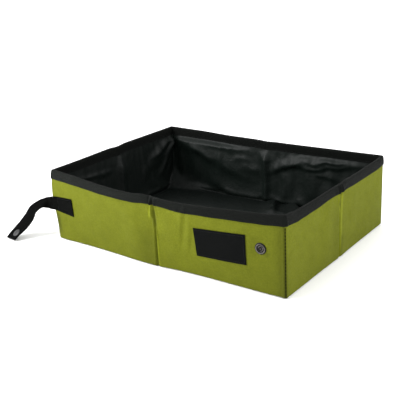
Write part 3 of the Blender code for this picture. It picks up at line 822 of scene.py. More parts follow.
# Folds of the tape, with the same numbers as the cover's
bindingFolds = {
    "front": ((0.2050, 0.108, 0.2044, 0.092, 0.0016, 0.0008),
              (0.2128, 0.108, 0.2134, 0.092, 0.0030, 0.0014)),
    "right": ((0.1402, 0.108, 0.1398, 0.092, 0.0010, 0.0010),
              (0.1446, 0.108, 0.1450, 0.092, 0.0009, 0.0012),
              (0.1496, 0.108, 0.1502, 0.092, 0.0012, 0.0010)),
    "back": ((0.1985, 0.108, 0.1980, 0.092, 0.0012, 0.0010),
             (0.2020, 0.108, 0.2026, 0.092, 0.0012, 0.0009)),
    "left": ((0.1425, 0.108, 0.1420, 0.092, 0.0011, 0.0010),
             (0.1456, 0.108, 0.1463, 0.092, 0.0011, 0.0010)),
}


def bindingProfile():
    # rows of (depth, height, how much of the outward puff a row takes), from the outer edge in
    middle = (binding["outerDepth"] + binding["innerDepth"]) / 2
    radius = (binding["innerDepth"] - binding["outerDepth"]) / 2
    shoulder = ring["rim"] - radius
    leaf = np.linspace(ring["bindingLow"], shoulder, binding["leafRows"])
    puffs = np.sin(pi * np.linspace(*binding["puffSpan"], len(leaf)))
    rows = [(binding["outerDepth"], height, puff) for height, puff in zip(leaf, puffs)]
    for angle in np.linspace(0, pi, binding["archRows"])[1:-1]:
        rows.append((middle - radius * cos(angle), shoulder + radius * sin(angle),
                     binding["archPuff"] * cos(angle)))
    rows += [(binding["innerDepth"], height, -binding["innerPuff"] * puff)
             for height, puff in zip(leaf[::-1], puffs[::-1])]
    return np.array(rows)


profile = bindingProfile()


def bindingSurface(place, row):
    # row counts along the profile, and the surface follows the cover's folds under it
    index = np.clip(row, 0, 1) * (len(profile) - 1)
    low = np.minimum(index.astype(int), len(profile) - 2)
    part = (index - low)[:, None]
    depth, height, puff = (profile[low] * (1 - part) + profile[low + 1] * part).T
    turned = np.mod(place, girth)
    lowness = smoothStep((ring["rim"] - height) / (ring["rim"] - ring["bindingLow"]))
    edgeWave = binding["edgeWave"] * lineNoise(turned, binding["edgeWaveSize"], seed=5)
    dip, folds = np.zeros(len(place)), np.zeros(len(place))
    for wall, here, run in onWalls(turned):
        dip[here] = binding["creaseDip"][wall.name] * bell(run - wall.length / 2, binding["creaseDipReach"])
        folds[here] = foldHeight(run, height[here], bindingFolds[wall.name])
    drawn = sum(far * bell(turned - centre, reach) for centre, reach, far in binding["drawnUp"])
    outer = depth < binding["leafDepth"]
    under = coverProud(place, np.maximum(height, ring["bindingLow"])) * outer
    wave = binding["waveDepth"] * lineNoise(turned, binding["waveSize"], seed=4)
    proud = under + binding["puff"] * puff + np.maximum(wave, 0) * outer * lowness
    proud = proud + folds * np.where(outer, 1, -binding["innerFold"])
    return wallPoint(place, height + (edgeWave + drawn) * lowness - dip, depth, proud)


# Painted shade on the binding: on its inside, towards the front's right end and on the right wall
bindingPaintedShades = {"inside": 0.60, "end": 0.50, "endFrom": 0.10, "right": 0.45}


def bindingPaintedShading(place, row):
    # painted shade past the top of its arch, towards the front's right end and on the right wall
    index = np.clip(row, 0, 1) * (len(profile) - 1)
    inside = smoothStep(index - binding["leafRows"] - binding["archRows"] / 2 + 2)
    place = np.mod(place, girth)
    end = smoothStep((place - bindingPaintedShades["endFrom"]) / (openCorner - bindingPaintedShades["endFrom"]))
    outside = np.where(place < openCorner, bindingPaintedShades["end"] * end, bindingPaintedShades["right"])
    outside = np.where(place < openCorner + shortSide, outside, 0)
    return np.maximum(bindingPaintedShades["inside"] * inside, outside)


stitches = {
    "pitch": 0.0034, "length": 0.0023, "radius": 0.00028, "fromEdge": 0.0016, "sides": 6, "sink": 0.25,
    "bevel": 0.7, "patchPitch": 0.8, "feel": (0.0004, 0.01),
}


def stitchPiece(name, spots, ways, ups):
    # one stitch is modelled and copied to every spot
    deselectAll()
    bpy.ops.mesh.primitive_cylinder_add(vertices=stitches["sides"], radius=stitches["radius"],
                                        depth=stitches["length"], rotation=(0, pi / 2, 0))
    thread = bpy.context.object
    startEdit(thread)
    bpy.ops.mesh.bevel(offset=stitches["radius"] * stitches["bevel"], segments=1, affect="EDGES")
    bpy.ops.object.mode_set(mode="OBJECT")
    bpy.ops.object.transform_apply(location=True, rotation=True, scale=True)
    thread.data.validate()
    base = np.array([vert.co for vert in thread.data.vertices])
    faces = [list(face.vertices) for face in thread.data.polygons]
    bpy.data.objects.remove(thread)
    allPoints, allFaces = [], []
    for number, (spot, way, up) in enumerate(zip(spots, ways, ups)):
        turn = np.array((way, np.cross(up, way), up))
        allPoints.append(base @ turn + spot - up * stitches["radius"] * stitches["sink"])
        allFaces += [[vert + number * len(base) for vert in face] for face in faces]
    return addPiece(name, np.concatenate(allPoints), allFaces, finishes["thread"])


def rimStitches(name, start, end):
    # two rows of stitches along the binding, one on each leaf
    places = evenly(start, end, stitches["pitch"])
    inLeaf = stitches["fromEdge"] / (profile[1][1] - profile[0][1]) / (len(profile) - 1)
    spots, ways, ups = [], [], []
    for row in (inLeaf, 1 - inLeaf):
        rows = np.full(len(places), row)
        along, rise, out = surfaceWays(bindingSurface, places, rows, *stitches["feel"])
        spots += list(bindingSurface(places, rows))
        ways += list(along)
        ups += list(out)
    return stitchPiece(name, spots, ways, ups)


def buildBinding():
    rows = np.linspace(0, 1, len(profile))
    for wall, after, name, places in ringSpans(binding["coarse"], binding["creaseSteps"]):
        piece = surfacePiece(name + "Binding", bindingSurface, places, rows, binding["thickness"],
                             finishes["tape"], bindingPaintedShading)
        sewn = rimStitches(name + ("Stitches" if after else "BindingStitches"), places[0], places[-1])
        if not after:
            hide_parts(wall.first + "_binding", wall.second + "_binding")
        for item in (piece, sewn):
            rideRing(item, wall, after)


buildBinding()
print("rim bound")

# Liner: an open bag of coated cloth, a little larger than the tray, held under the binding and
# dropped into the walls by a cloth simulation
liner = {
    "depth": 0.0031, "floorHeight": 0.0022, "top": 0.1036, "spacing": 0.0056, "thickness": 0.0004,
    # the simulation: from which height the binding holds the cloth, how much taller it is cut, how
    # uneven it starts, the pleats at the creases, and the slabs that it lies against
    "pinnedFrom": 0.0925, "pinFade": 0.02, "extraHeight": 0.055, "frames": 44, "seedDepth": 0.0026,
    "seedSize": 0.050, "seedSquash": 2.4, "pleatReach": 0.0075, "wallClear": 0.0016, "slab": 0.04,
    "slabTall": 1.5, "slabSkin": 0.0010, "slabFriction": 8, "clothSkin": 0.0008,
    "pleats": {"front": 0.0030, "right": 0.0030, "back": 0.0070, "left": 0.0035},
    "cloth": {
        "quality": 7, "mass": 0.16, "tension_stiffness": 18, "compression_stiffness": 18,
        "shear_stiffness": 6, "bending_stiffness": 0.50, "air_damping": 2.5, "shrink_min": -0.012,
        "pin_stiffness": 1},
    # how the settled cloth is refined, calmed on the floor, given its strokes and cut
    "levels": 2, "floorCalm": 0.35, "floorSink": 0.0004, "bowReach": 0.045, "foldFade": 0.0940,
    "foldFadeReach": 0.008, "strokeProud": 0.66, "strokeWiden": 1.40, "warp": 0.006,
    "warpSize": 0.028, "spanSoft": 0.0035, "cornerZone": 0.0120, "creaseZone": 0.0100,
    "floorSplit": 0.0062, "keep": 0.10, "floorKeep": 0.06,
    # painted shade on the left wall, and on the floor and the foot of the walls
    "leftSoil": 0.45, "floorSoil": 0.40, "floorSoilReach": 0.01,
}

# Strokes on the liner: start and end (along the wall, height), half width above and below the
# stroke, and how far it stands into the tray. On the floor they are plan positions.
linerFolds = {
    "front": ((0.060, 0.085, 0.160, 0.060, 0.014, 0.008, 0.004),
              (0.240, 0.060, 0.350, 0.085, 0.014, 0.008, 0.004)),
    "right": ((0.030, 0.080, 0.110, 0.060, 0.012, 0.007, 0.004),
              (0.170, 0.060, 0.260, 0.080, 0.012, 0.007, 0.004)),
    "back": (
        (0.388, 0.094, 0.232, 0.044, 0.024, 0.009, 0.0105),
        (0.322, 0.0900, 0.236, 0.0885, 0.0030, 0.0045, 0.0034),
        (0.262, 0.0745, 0.228, 0.0705, 0.0030, 0.0040, 0.0016),
        (0.246, 0.0600, 0.208, 0.0545, 0.0050, 0.0045, 0.0026),
        (0.350, 0.0800, 0.300, 0.0600, 0.0060, 0.0050, 0.0025),
        (0.2040, 0.0880, 0.2010, 0.0540, 0.0050, 0.0060, 0.0040),
        (0.192, 0.0560, 0.128, 0.0810, 0.0080, 0.0035, 0.0065),
        (0.130, 0.0830, 0.050, 0.0900, 0.0060, 0.0030, 0.0048),
        (0.158, 0.0700, 0.030, 0.0830, 0.0075, 0.0030, 0.0052),
        (0.165, 0.0560, 0.166, 0.0080, 0.0060, 0.0060, 0.0042),
        (0.130, 0.0760, 0.092, 0.0100, 0.0120, 0.0090, 0.0052),
        (0.106, 0.0660, 0.070, 0.0610, 0.0060, 0.0030, 0.0034),
        (0.060, 0.0600, 0.030, 0.0200, 0.0090, 0.0070, 0.0035),
    ),
    "left": (
        (0.003, 0.0930, 0.066, 0.0640, 0.0060, 0.0040, 0.0060),
        (0.003, 0.0900, 0.044, 0.0340, 0.0050, 0.0040, 0.0062),
        (0.005, 0.0860, 0.024, 0.0280, 0.0040, 0.0035, 0.0050),
        (0.010, 0.0780, 0.092, 0.0420, 0.0080, 0.0050, 0.0036),
        (0.140, 0.0880, 0.148, 0.0100, 0.0050, 0.0070, 0.0034),
        (0.244, 0.0790, 0.164, 0.0720, 0.0030, 0.0030, 0.0022),
        (0.200, 0.0500, 0.240, 0.0200, 0.0100, 0.0080, 0.0040),
    ),
    "floor": (
        (0.014, 0.145, 0.034, 0.098, 0.0035, 0.0120, 0.0120),
        (0.036, 0.145, 0.085, 0.110, 0.0030, 0.0100, 0.0100),
        (0.060, 0.106, 0.020, 0.096, 0.0040, 0.0080, 0.0050),
        (-0.120, 0.060, -0.040, 0.030, 0.0300, 0.0220, 0.0022),
        (0.060, -0.020, 0.150, -0.050, 0.0260, 0.0200, 0.0022),
    ),
}
# Where the cloth spans a corner: three points of each flat stretch
linerSpans = (
    ((-0.1969, 0.1409, 0.036), (-0.1969, 0.1120, 0.001), (-0.1000, 0.1409, 0.001)),
    ((0.1969, 0.1409, 0.030), (0.1969, 0.1200, 0.002), (0.1660, 0.1409, 0.002)),
    ((-0.1969, -0.1409, 0.030), (-0.1969, -0.1150, 0.002), (-0.1700, -0.1409, 0.002)),
)


def linerGrid():
    # the bag's rest shape, a flat floor and upright walls: its points and quads
    halfX, halfY = halfSize - liner["depth"]
    columns = int(round(2 * halfX / liner["spacing"] / 2)) * 2
    rows = int(round(2 * halfY / liner["spacing"] / 2)) * 2
    levels = int(round((liner["top"] - liner["floorHeight"]) / liner["spacing"]))
    x, y = np.meshgrid(np.linspace(-halfX, halfX, columns + 1), np.linspace(-halfY, halfY, rows + 1))
    points = np.column_stack((x.ravel(), y.ravel(), np.full(x.size, liner["floorHeight"])))
    grid = np.arange(x.size).reshape(x.shape)
    loop = np.concatenate((grid[0, :-1], grid[:-1, -1], grid[-1, :0:-1], grid[:0:-1, 0]))
    upper = x.size + np.arange(levels * len(loop)).reshape(levels, len(loop))
    heights = np.linspace(liner["floorHeight"], liner["top"], levels + 1)[1:]
    sides = [np.column_stack((points[loop, :2], np.full(len(loop), height))) for height in heights]
    quads = np.concatenate((gridQuads(rows + 1, columns + 1)[:, [0, 3, 2, 1]],
                            ringQuads(np.vstack((loop, upper)))))
    return np.concatenate([points] + sides), quads


def meshPoints(mesh):
    points = np.zeros(len(mesh.vertices) * 3)
    mesh.vertices.foreach_get("co", points)
    return points.reshape(-1, 3)


def addSlabs():
    # five thick slabs round the outside of the bag for it to lie against
    halfX, halfY = halfSize - liner["depth"] + liner["wallClear"]
    thick, tall = liner["slab"], ring["rim"] * liner["slabTall"]
    wide, deep = halfX + thick, halfY + thick
    spans = (((-wide, -deep, -thick), (wide, deep, liner["floorHeight"] - liner["wallClear"])),
             ((-wide, -deep, -thick), (wide, -halfY, tall)), ((-wide, halfY, -thick), (wide, deep, tall)),
             ((-wide, -deep, -thick), (-halfX, deep, tall)), ((halfX, -deep, -thick), (wide, deep, tall)))
    slabs = []
    for low, high in spans:
        middle = [(a + b) / 2 for a, b in zip(low, high)]
        size = [b - a for a, b in zip(low, high)]
        deselectAll()
        bpy.ops.mesh.primitive_cube_add(size=1, location=middle, scale=size)
        slab = bpy.context.object
        bpy.ops.object.modifier_add(type="COLLISION")
        slab.collision.thickness_outer = liner["slabSkin"]
        slab.collision.cloth_friction = liner["slabFriction"]
        slabs.append(slab)
    return slabs


def dropLiner(points, quads):
    # simulate the bag and give its settled points
    bag = addPiece("linerBag", points, quads.tolist())
    held = bag.vertex_groups.new(name="heldByBinding")
    held.add(np.nonzero(points[:, 2] > liner["pinnedFrom"])[0].tolist(), 1, "REPLACE")
    free = smoothStep((liner["pinnedFrom"] - points[:, 2]) / liner["pinFade"])
    place, nearest = restPlace(points)
    onWall = points[:, 2] > liner["floorHeight"] + tiny
    inward = -np.array([(*wall.outward, 0) for wall in walls], float)[nearest]
    pleated = points.copy()
    for number, wall in enumerate(walls):
        off = np.abs(place - wall.begin - wall.length / 2)
        deep = liner["pleats"][wall.name] * np.clip(1 - off / liner["pleatReach"], 0, 1) * free
        pleated += inward * np.where(onWall & (nearest == number), deep, 0)[:, None]
    squashed = points * (1, 1, liner["seedSquash"])
    seeds = (0.5 + softNoise(squashed, liner["seedSize"], seed=11)) * liner["seedDepth"]
    started = pleated + inward * (np.maximum(seeds, 0) * free * onWall)[:, None]
    # the cloth is cut taller than the walls, so that it sags into folds
    cut = pleated.copy()
    cut[:, 2] -= np.maximum(liner["pinnedFrom"] - cut[:, 2], 0) * liner["extraHeight"]
    slabs = addSlabs()
    bag.data.vertices.foreach_set("co", started.ravel())
    bag.shape_key_add(name="started")
    cutKey = bag.shape_key_add(name="cut")
    cutKey.data.foreach_set("co", cut.ravel())
    cloth = bag.modifiers.new("Drop", "CLOTH")
    for name, value in liner["cloth"].items():
        setattr(cloth.settings, name, value)
    cloth.settings.rest_shape_key = cutKey
    cloth.settings.vertex_group_mass = "heldByBinding"
    cloth.collision_settings.distance_min = liner["clothSkin"]
    cloth.collision_settings.use_self_collision = False
    cloth.point_cache.frame_start = 1
    cloth.point_cache.frame_end = liner["frames"]
    for number in range(1, liner["frames"] + 1):
        bpy.context.scene.frame_set(number)
    settled = bag.evaluated_get(bpy.context.evaluated_depsgraph_get())
    result = meshPoints(settled.to_mesh())
    settled.to_mesh_clear()
    bpy.context.scene.frame_set(1)
    for item in slabs + [bag]:
        bpy.data.objects.remove(item)
    return result


def refined(points, quads, kind):
    # the same mesh after subdivision: kind SIMPLE keeps its shape, CATMULL_CLARK smooths it
    item = addPiece("refining", points, quads.tolist())
    selectOnly(item)
    bpy.ops.object.modifier_add(type="SUBSURF")
    modifier = item.modifiers[0]
    modifier.subdivision_type = kind
    modifier.levels = modifier.render_levels = liner["levels"]
    bpy.ops.object.modifier_apply(modifier=modifier.name)
    finer = meshPoints(item.data)
    faces = np.array([list(face.vertices) for face in item.data.polygons])
    bpy.data.objects.remove(item)
    return finer, faces


def restPlace(rest):
    # where each rest point of the bag is round the tray, and which wall is nearest
    x, y = rest[:, 0], rest[:, 1]
    halfX, halfY = halfSize
    nearest = np.column_stack((halfY + y, halfX - x, halfY - y, halfX + x)).argmin(axis=1)
    runs = np.column_stack((x + halfX, y + halfY, halfX - x, halfY - y))
    begins = np.array([wall.begin for wall in walls])
    return np.mod(begins[nearest] + runs[np.arange(len(rest)), nearest], girth), nearest


def settleLiner(points, rest):
    # keeps the cloth off the walls and the floor, then carries it out with the front's bow
    limit = halfSize - liner["depth"]
    points = points.copy()
    points[:, :2] = np.clip(points[:, :2], -limit, limit)
    points[:, 2] = np.maximum(points[:, 2], liner["floorHeight"] - liner["floorSink"])
    toFront = smoothStep((-points[:, 1] - limit[1] + liner["bowReach"]) / liner["bowReach"])
    points[:, 1] -= frontBow(points[:, 0], points[:, 2]) * toFront
    lift = rimRise(restPlace(rest)[0]) * (np.maximum(points[:, 2], 0) / ring["rim"]) ** 2
    points[:, 2] += lift * (rest[:, 2] > liner["floorHeight"] + tiny)
    return points


def linerStrokes(along, height, folds):
    total = np.zeros(len(along))
    for fold in folds:
        off, fade = strokeShape(along, height, fold, strokeEnds["liner"])
        width = np.where(off > 0, fold[4], fold[5]) * liner["strokeWiden"]
        total += liner["strokeProud"] * fold[6] * bell(off, width) * fade
    return total


def foldLiner(points, rest):
    # adds the strokes, and the flat stretches that span the corners
    points = points.copy()
    place, nearest = restPlace(rest)
    onFloor = rest[:, 2] <= liner["floorHeight"] + tiny
    held = smoothStep((liner["foldFade"] - rest[:, 2]) / liner["foldFadeReach"])
    # the strokes wander a little
    astray, aloft = (liner["warp"] * softNoise(rest, liner["warpSize"], seed) for seed in (21, 22))
    for number, wall in enumerate(walls):
        mine = (nearest == number) & ~onFloor
        deep = linerStrokes(place[mine] - wall.begin + astray[mine], rest[mine, 2] + aloft[mine],
                            linerFolds[wall.name]) * held[mine]
        points[mine] -= deep[:, None] * np.array((*wall.outward, 0), float)
    points[onFloor, 2] += linerStrokes(rest[onFloor, 0] + astray[onFloor],
                                       rest[onFloor, 1] + aloft[onFloor], linerFolds["floor"])
    for first, second, third in np.array(linerSpans):
        normal = np.cross(second - first, third - first)
        normal /= np.linalg.norm(normal)
        normal *= np.sign(np.dot((0, 0, ring["rim"] / 2) - first, normal))   # into the tray
        before = -(points - first) @ normal
        behind = (before + np.sqrt(before ** 2 + liner["spanSoft"] ** 2)) / 2
        near = smoothStep(before / liner["spanSoft"] / 2 + 1)
        points += (behind * near)[:, None] * normal
    return points


def pointNormals(points, quads):
    normals, crosses = np.zeros_like(points), quadCrosses(points, quads)
    for corner in range(4):
        np.add.at(normals, quads[:, corner], crosses)
    return unitRows(normals)


def buildLiner():
    coarseRest, coarseQuads = linerGrid()
    dropped = dropLiner(coarseRest, coarseQuads)
    rest, quads = refined(coarseRest, coarseQuads, "SIMPLE")
    points, quads = refined(dropped, coarseQuads, "CATMULL_CLARK")
    level = liner["floorHeight"]
    onFloor = rest[:, 2] <= level + tiny
    points[:, 2] = np.where(onFloor, level + (points[:, 2] - level) * liner["floorCalm"], points[:, 2])
    points = settleLiner(foldLiner(points, rest), rest)
    normals = pointNormals(points, quads)   # the bag's quads face into the tray
    areas = np.linalg.norm(quadCrosses(points, quads), axis=1) / 2
    centre = rest[quads].mean(axis=1)
    inFloor = np.ptp(rest[quads][:, :, 2], axis=1) < tiny
    place, nearest = restPlace(centre)
    pointPlace, pointNearest = restPlace(rest)
    wallMap, floorMap = np.column_stack((pointPlace, rest[:, 2])), rest[:, :2]
    # painted shade on the left wall, and on the floor and the foot of the walls
    paintedShading = np.where((pointNearest == 3) & ~onFloor, liner["leftSoil"], 0) + liner[
        "floorSoil"] * smoothStep(1 - (rest[:, 2] - level) / liner["floorSoilReach"])

    def part(name, mask, clothMap):
        piece = shellPiece(name, points, normals, quads[mask], clothMap, liner["thickness"],
                           finishes["coated"], paintedShading)
        return piece

    def hungPart(name, mask, wall):
        piece = part(name, mask, wallMap)
        return piece

    corners = np.array([wall.begin for wall in walls] + [girth])
    toCorner = np.abs(place[:, None] - corners).min(axis=1)
    toOpen = np.abs(place - openCorner)
    inCorner = (toCorner < liner["cornerZone"]) & (toOpen > liner["cornerZone"] + tiny)
    for number, wall in enumerate(walls):
        run = place - wall.begin
        mine = (nearest == number) & ~inFloor
        inCrease = np.abs(run - wall.length / 2) < liner["creaseZone"]
        for body, half in ((wall.first, run < wall.length / 2), (wall.second, run >= wall.length / 2)):
            side, end = body.split("_")
            piece = hungPart(side + end.capitalize() + "Liner", mine & half & ~inCorner & ~inCrease, wall)
            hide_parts(body + "_liner")
            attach(piece, body)
            anchor = flatVector(wall.outward * (halfSize - liner["depth"]))
            flatVector(wall.outward)
            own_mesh(piece)
        rideRing(hungPart(wall.name + "CreaseLiner", mine & inCrease, wall), wall)
        edge, after = wall.begin + wall.length, walls[(number + 1) % 4]
        if edge != openCorner:
            off = np.minimum(np.abs(place - edge), np.abs(place - edge + girth))
            mask = ~inFloor & (np.minimum(off, girth - off) < liner["cornerZone"])
            name = wall.name + after.name.capitalize() + "CornerLiner"
            rideRing(hungPart(name, mask, wall), wall, after)
    for side, body, half, anchorSide in (
            ("left", "front_left", centre[:, 0] < liner["floorSplit"], -1),
            ("right", "back_right", centre[:, 0] >= liner["floorSplit"], 1)):
        piece = part("floor" + side.capitalize() + "Liner", half & inFloor, floorMap)
        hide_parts("floor_" + side + "_liner")
        width = np.ptp(centre[half & inFloor][:, 0]) + liner["spacing"] / 2
        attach(piece, body)
        anchor = (0, anchorSide * (ring["halfWidth"] - liner["depth"]), 0)
        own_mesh(piece)


floorCover = {
    "thickness": 0.0005, "top": 0.00062, "inset": 0.0014, "split": (0.006, 0.0063), "columns": 40,
    "rows": 40, "waveDepth": 0.0001, "waveSize": 0.03, "keep": 0.06,
}


def buildFloorCovers():
    # the underside: two laid sheets with a slight wave, each on the body of the walls it is sewn to
    halfX, halfY = halfSize - floorCover["inset"]
    leftEnd, rightStart = floorCover["split"]
    for side, body, low, high, anchorSide in (("left", "front_left", -halfX, leftEnd, -1),
                                              ("right", "back_right", rightStart, halfX, 1)):
        xs = np.linspace(low, high, floorCover["columns"])
        ys = np.linspace(-halfY, halfY, floorCover["rows"])
        x, y = (values.ravel() for values in np.meshgrid(xs, ys, indexing="ij"))
        flat = np.column_stack((x, y, x * 0))
        wave = 0.5 + 0.5 * softNoise(flat, floorCover["waveSize"], seed=21)
        points = np.column_stack((x, y, floorCover["top"] - floorCover["waveDepth"] * wave))
        up = np.tile((0.0, 0.0, 1.0), (len(points), 1))
        piece = shellPiece("floor" + side.capitalize() + "Cover", points, up, gridQuads(len(xs), len(ys)),
                           flat[:, :2], floorCover["thickness"], finishes["oxford"])
        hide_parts("floor_" + side + "_cover")
        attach(piece, body)
        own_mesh(piece)


buildFloorCovers()
buildLiner()
print("liner dropped into the tray")


def turnedPiece(name, outline, steps, place, material):
    # an outline of (radius, height) spun round its axis, then set on its frame
    points = [(radius, 0, height) for radius, height in outline]
    edges = [(number, number + 1) for number in range(len(outline) - 1)]
    piece = addPiece(name, points, [], material, edges)
    startEdit(piece)
    bpy.ops.mesh.spin(steps=steps, angle=2 * pi, center=(0, 0, 0), axis=(0, 0, 1))
    bpy.ops.mesh.select_all(action="SELECT")
    bpy.ops.mesh.remove_doubles(threshold=snap["weld"])
    endEdit(snap["smoothUnder"])
    piece.data.transform(place)
    return piece


def tubeFaces(rings, count):
    # quads between rings of count points, and then a cap at each end
    numbers = np.arange(rings * count).reshape(rings, count)
    return ringQuads(numbers).tolist() + [numbers[0].tolist(), numbers[-1, ::-1].tolist()]


def sweptPiece(name, frames, section, spread, ends, material, mapStart=0.0):
    # closed piece swept along frames of (place, along, across, out); section is (across, out) points,
    # and spread gives each frame's width above and below the middle, and its painted shade
    points, clothMap, travelled, around = [], [], mapStart, [0.0]
    for before, after in zip(section, section[1:]):
        around.append(around[-1] + np.hypot(after[0] - before[0], after[1] - before[1]))
    for number, (place, along, across, out) in enumerate(frames):
        if number:
            travelled += (place - frames[number - 1][0]).length
        squeeze = ends(number / (len(frames) - 1))
        for index, (side, up) in enumerate(section):
            wider = side * spread[number][0 if side > 0 else 1]
            points.append(place + across * wider + out * up * squeeze)
            clothMap.append((travelled, around[index]))
    piece = addPiece(name, points, tubeFaces(len(frames), len(section)), material)
    layer = piece.data.uv_layers.new(name="clothMap")
    for loop in piece.data.loops:
        layer.data[loop.index].uv = clothMap[loop.vertex_index]
    storePaintedShading(piece.data, np.repeat([row[2] for row in spread], len(section)))
    startEdit(piece)
    endEdit(strap["smoothUnder"])
    return piece


# Bare woven patch on the right half of the front: its place, its turned edge and its stitches
patch = {
    "start": 0.2695, "end": 0.3465, "low": 0.0335, "high": 0.0755, "tilt": 0.045, "lean": 0.025,
    "outset": 0.0012, "thickness": 0.0008, "edgeWidth": 0.0014, "edgeHeight": 0.00035,
    "edgePitch": 0.0011, "beads": 0.15, "lipDrop": 0.0003, "lipWidth": 0.0006,
    "coarse": 0.0035, "fine": 0.0003, "stitchInset": 0.0026, "stitchFeel": 0.0005,
}


def patchSurface(place, height):
    inset = np.minimum.reduce((place - patch["start"], patch["end"] - place,
                               height - patch["low"], patch["high"] - height))
    ridge = np.clip(inset / patch["edgeWidth"], 0, 1)
    beads = 1 - patch["beads"] + patch["beads"] * np.sin(2 * pi * (place + height) / patch["edgePitch"])
    raised = patch["edgeHeight"] * np.sin(pi * ridge) * beads
    raised = raised - patch["lipDrop"] * (1 - smoothStep(inset / patch["lipWidth"]))
    # sewn on a little crooked
    middlePlace, middleHeight = (patch["start"] + patch["end"]) / 2, (patch["low"] + patch["high"]) / 2
    turnedPlace = place + (height - middleHeight) * patch["lean"]
    turnedHeight = height + (place - middlePlace) * patch["tilt"]
    return wallPoint(turnedPlace, turnedHeight, -patch["outset"],
                     coverProud(turnedPlace, turnedHeight) + raised)


def buildPatch():
    places, rows = (stations(patch[start], patch[end], patch["coarse"],
                             [(patch[at], patch["edgeWidth"] * 2, patch["fine"]) for at in (start, end)])
                    for start, end in (("start", "end"), ("low", "high")))
    piece = surfacePiece("frontPatch", patchSurface, places, rows, patch["thickness"],
                         finishes["satinPatch"])
    inset, step = patch["stitchInset"], patch["stitchFeel"]
    pitch = stitches["pitch"] * stitches["patchPitch"]
    left, right = patch["start"] + inset, patch["end"] - inset
    low, high = patch["low"] + inset, patch["high"] - inset
    spots, ways, ups = [], [], []
    for fixedAt, start, end, level in ((low, left, right, True), (high, left, right, True),
                                       (left, low, high, False), (right, low, high, False)):
        moving = evenly(start, end, pitch)
        fixed = np.full(len(moving), fixedAt)
        spot = (moving, fixed) if level else (fixed, moving)
        along, rise, out = surfaceWays(patchSurface, *spot, step, step, back=0)
        spots += list(patchSurface(*spot))
        ways += list(along if level else rise)
        ups += list(out)
    sewn = stitchPiece("frontPatchStitches", spots, ways, ups)
    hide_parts("front_patch")
    for item in (piece, sewn):
        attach(item, "front_right")


# Snap on the front: outlines are (radius, height), in metres, from the top of the axis outwards
snap = {
    "steps": 72, "seat": 0.0001, "feel": 0.002, "weld": 0.00001, "smoothUnder": 40,
    # radii between which its metal is blackened: dark metal at the outer edge, painted shade in the
    # groove and in the hollow centre
    "dark": ((-0.001, 0.0021), (0.0037, 0.0054), (0.0066, 0.0080)),
    "stud": ((0.0, 0.0012), (0.0008, 0.00125), (0.0012, 0.0017), (0.0014, 0.0024), (0.0018, 0.0027),
             (0.0023, 0.0026), (0.0026, 0.0021), (0.0027, 0.0014), (0.0029, 0.0008), (0.0036, 0.0005),
             (0.0044, 0.0006), (0.0048, 0.0010), (0.0053, 0.0016), (0.0060, 0.0018),
             (0.0066, 0.0016), (0.0072, 0.0012), (0.0077, 0.0008), (0.0078, 0.0003), (0.0078, -0.0004)),
}


def surfaceFrame(place, height, proud):
    # frame on the cover at a place: X along the wall, Z out of it
    at, tall, feel = np.array([place]), np.array([height]), snap["feel"]
    along = Vector(coverSurface(at + feel, tall)[0] - coverSurface(at - feel, tall)[0]).normalized()
    rise = Vector(coverSurface(at, tall + feel)[0] - coverSurface(at, tall - feel)[0])
    out = along.cross(rise).normalized()
    turn = Matrix((along, out.cross(along), out)).transposed().to_4x4()
    return Matrix.Translation(Vector(coverSurface(at, tall)[0]) + out * proud) @ turn


def buildSnap():
    place = surfaceFrame(cover["snapPlace"], cover["snapHeight"], snap["seat"])
    stud = turnedPiece("frontSnapStud", snap["stud"], snap["steps"], place, finishes["gunmetal"])
    stud.data.materials.append(finishes["darkMetalAndShade"])
    back = place.inverted()
    for face in stud.data.polygons:
        centre = back @ face.center
        radius = np.hypot(centre.x, centre.y)
        face.material_index = int(any(low < radius < high for low, high in snap["dark"]))
    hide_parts("snap_stud")
    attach(stud, "front_right")


# Sewn corner: a thread down the front right edge, drawn tight at every stitch; its dark colour is
# also painted shade of the seam's groove
cornerSeam = {
    "radius": 0.00050, "bump": 0.00022, "pitch": 0.0046, "low": 0.0012, "high": 0.0945, "steps": 150,
    "sides": 8, "proud": 0.00030, "ends": 0.3,
}


def buildCornerSeam():
    steps, sides = cornerSeam["steps"], cornerSeam["sides"]
    heights = np.linspace(cornerSeam["low"], cornerSeam["high"], steps)
    centre = coverSurface(np.full(steps, openCorner), heights)
    centre = centre + np.array((1, -1, 0)) / np.sqrt(2) * cornerSeam["proud"]
    radii = cornerSeam["radius"] + cornerSeam["bump"] * np.sin(2 * pi * heights / cornerSeam["pitch"])
    radii[[0, -1]] *= cornerSeam["ends"]
    angles = 2 * pi * np.arange(sides) / sides
    circle = np.column_stack((np.cos(angles), np.sin(angles)))
    plan = centre[:, None, :2] + radii[:, None, None] * circle
    points = np.column_stack((plan.reshape(-1, 2), np.repeat(heights, sides)))
    # these rings go round the other way, so the faces are turned over
    faces = [[face[0], *face[:0:-1]] for face in tubeFaces(steps, sides)]
    piece = addPiece("cornerSeamThreadAndShade", points, faces, finishes["seamThreadAndShade"])
    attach(piece, "front_right")


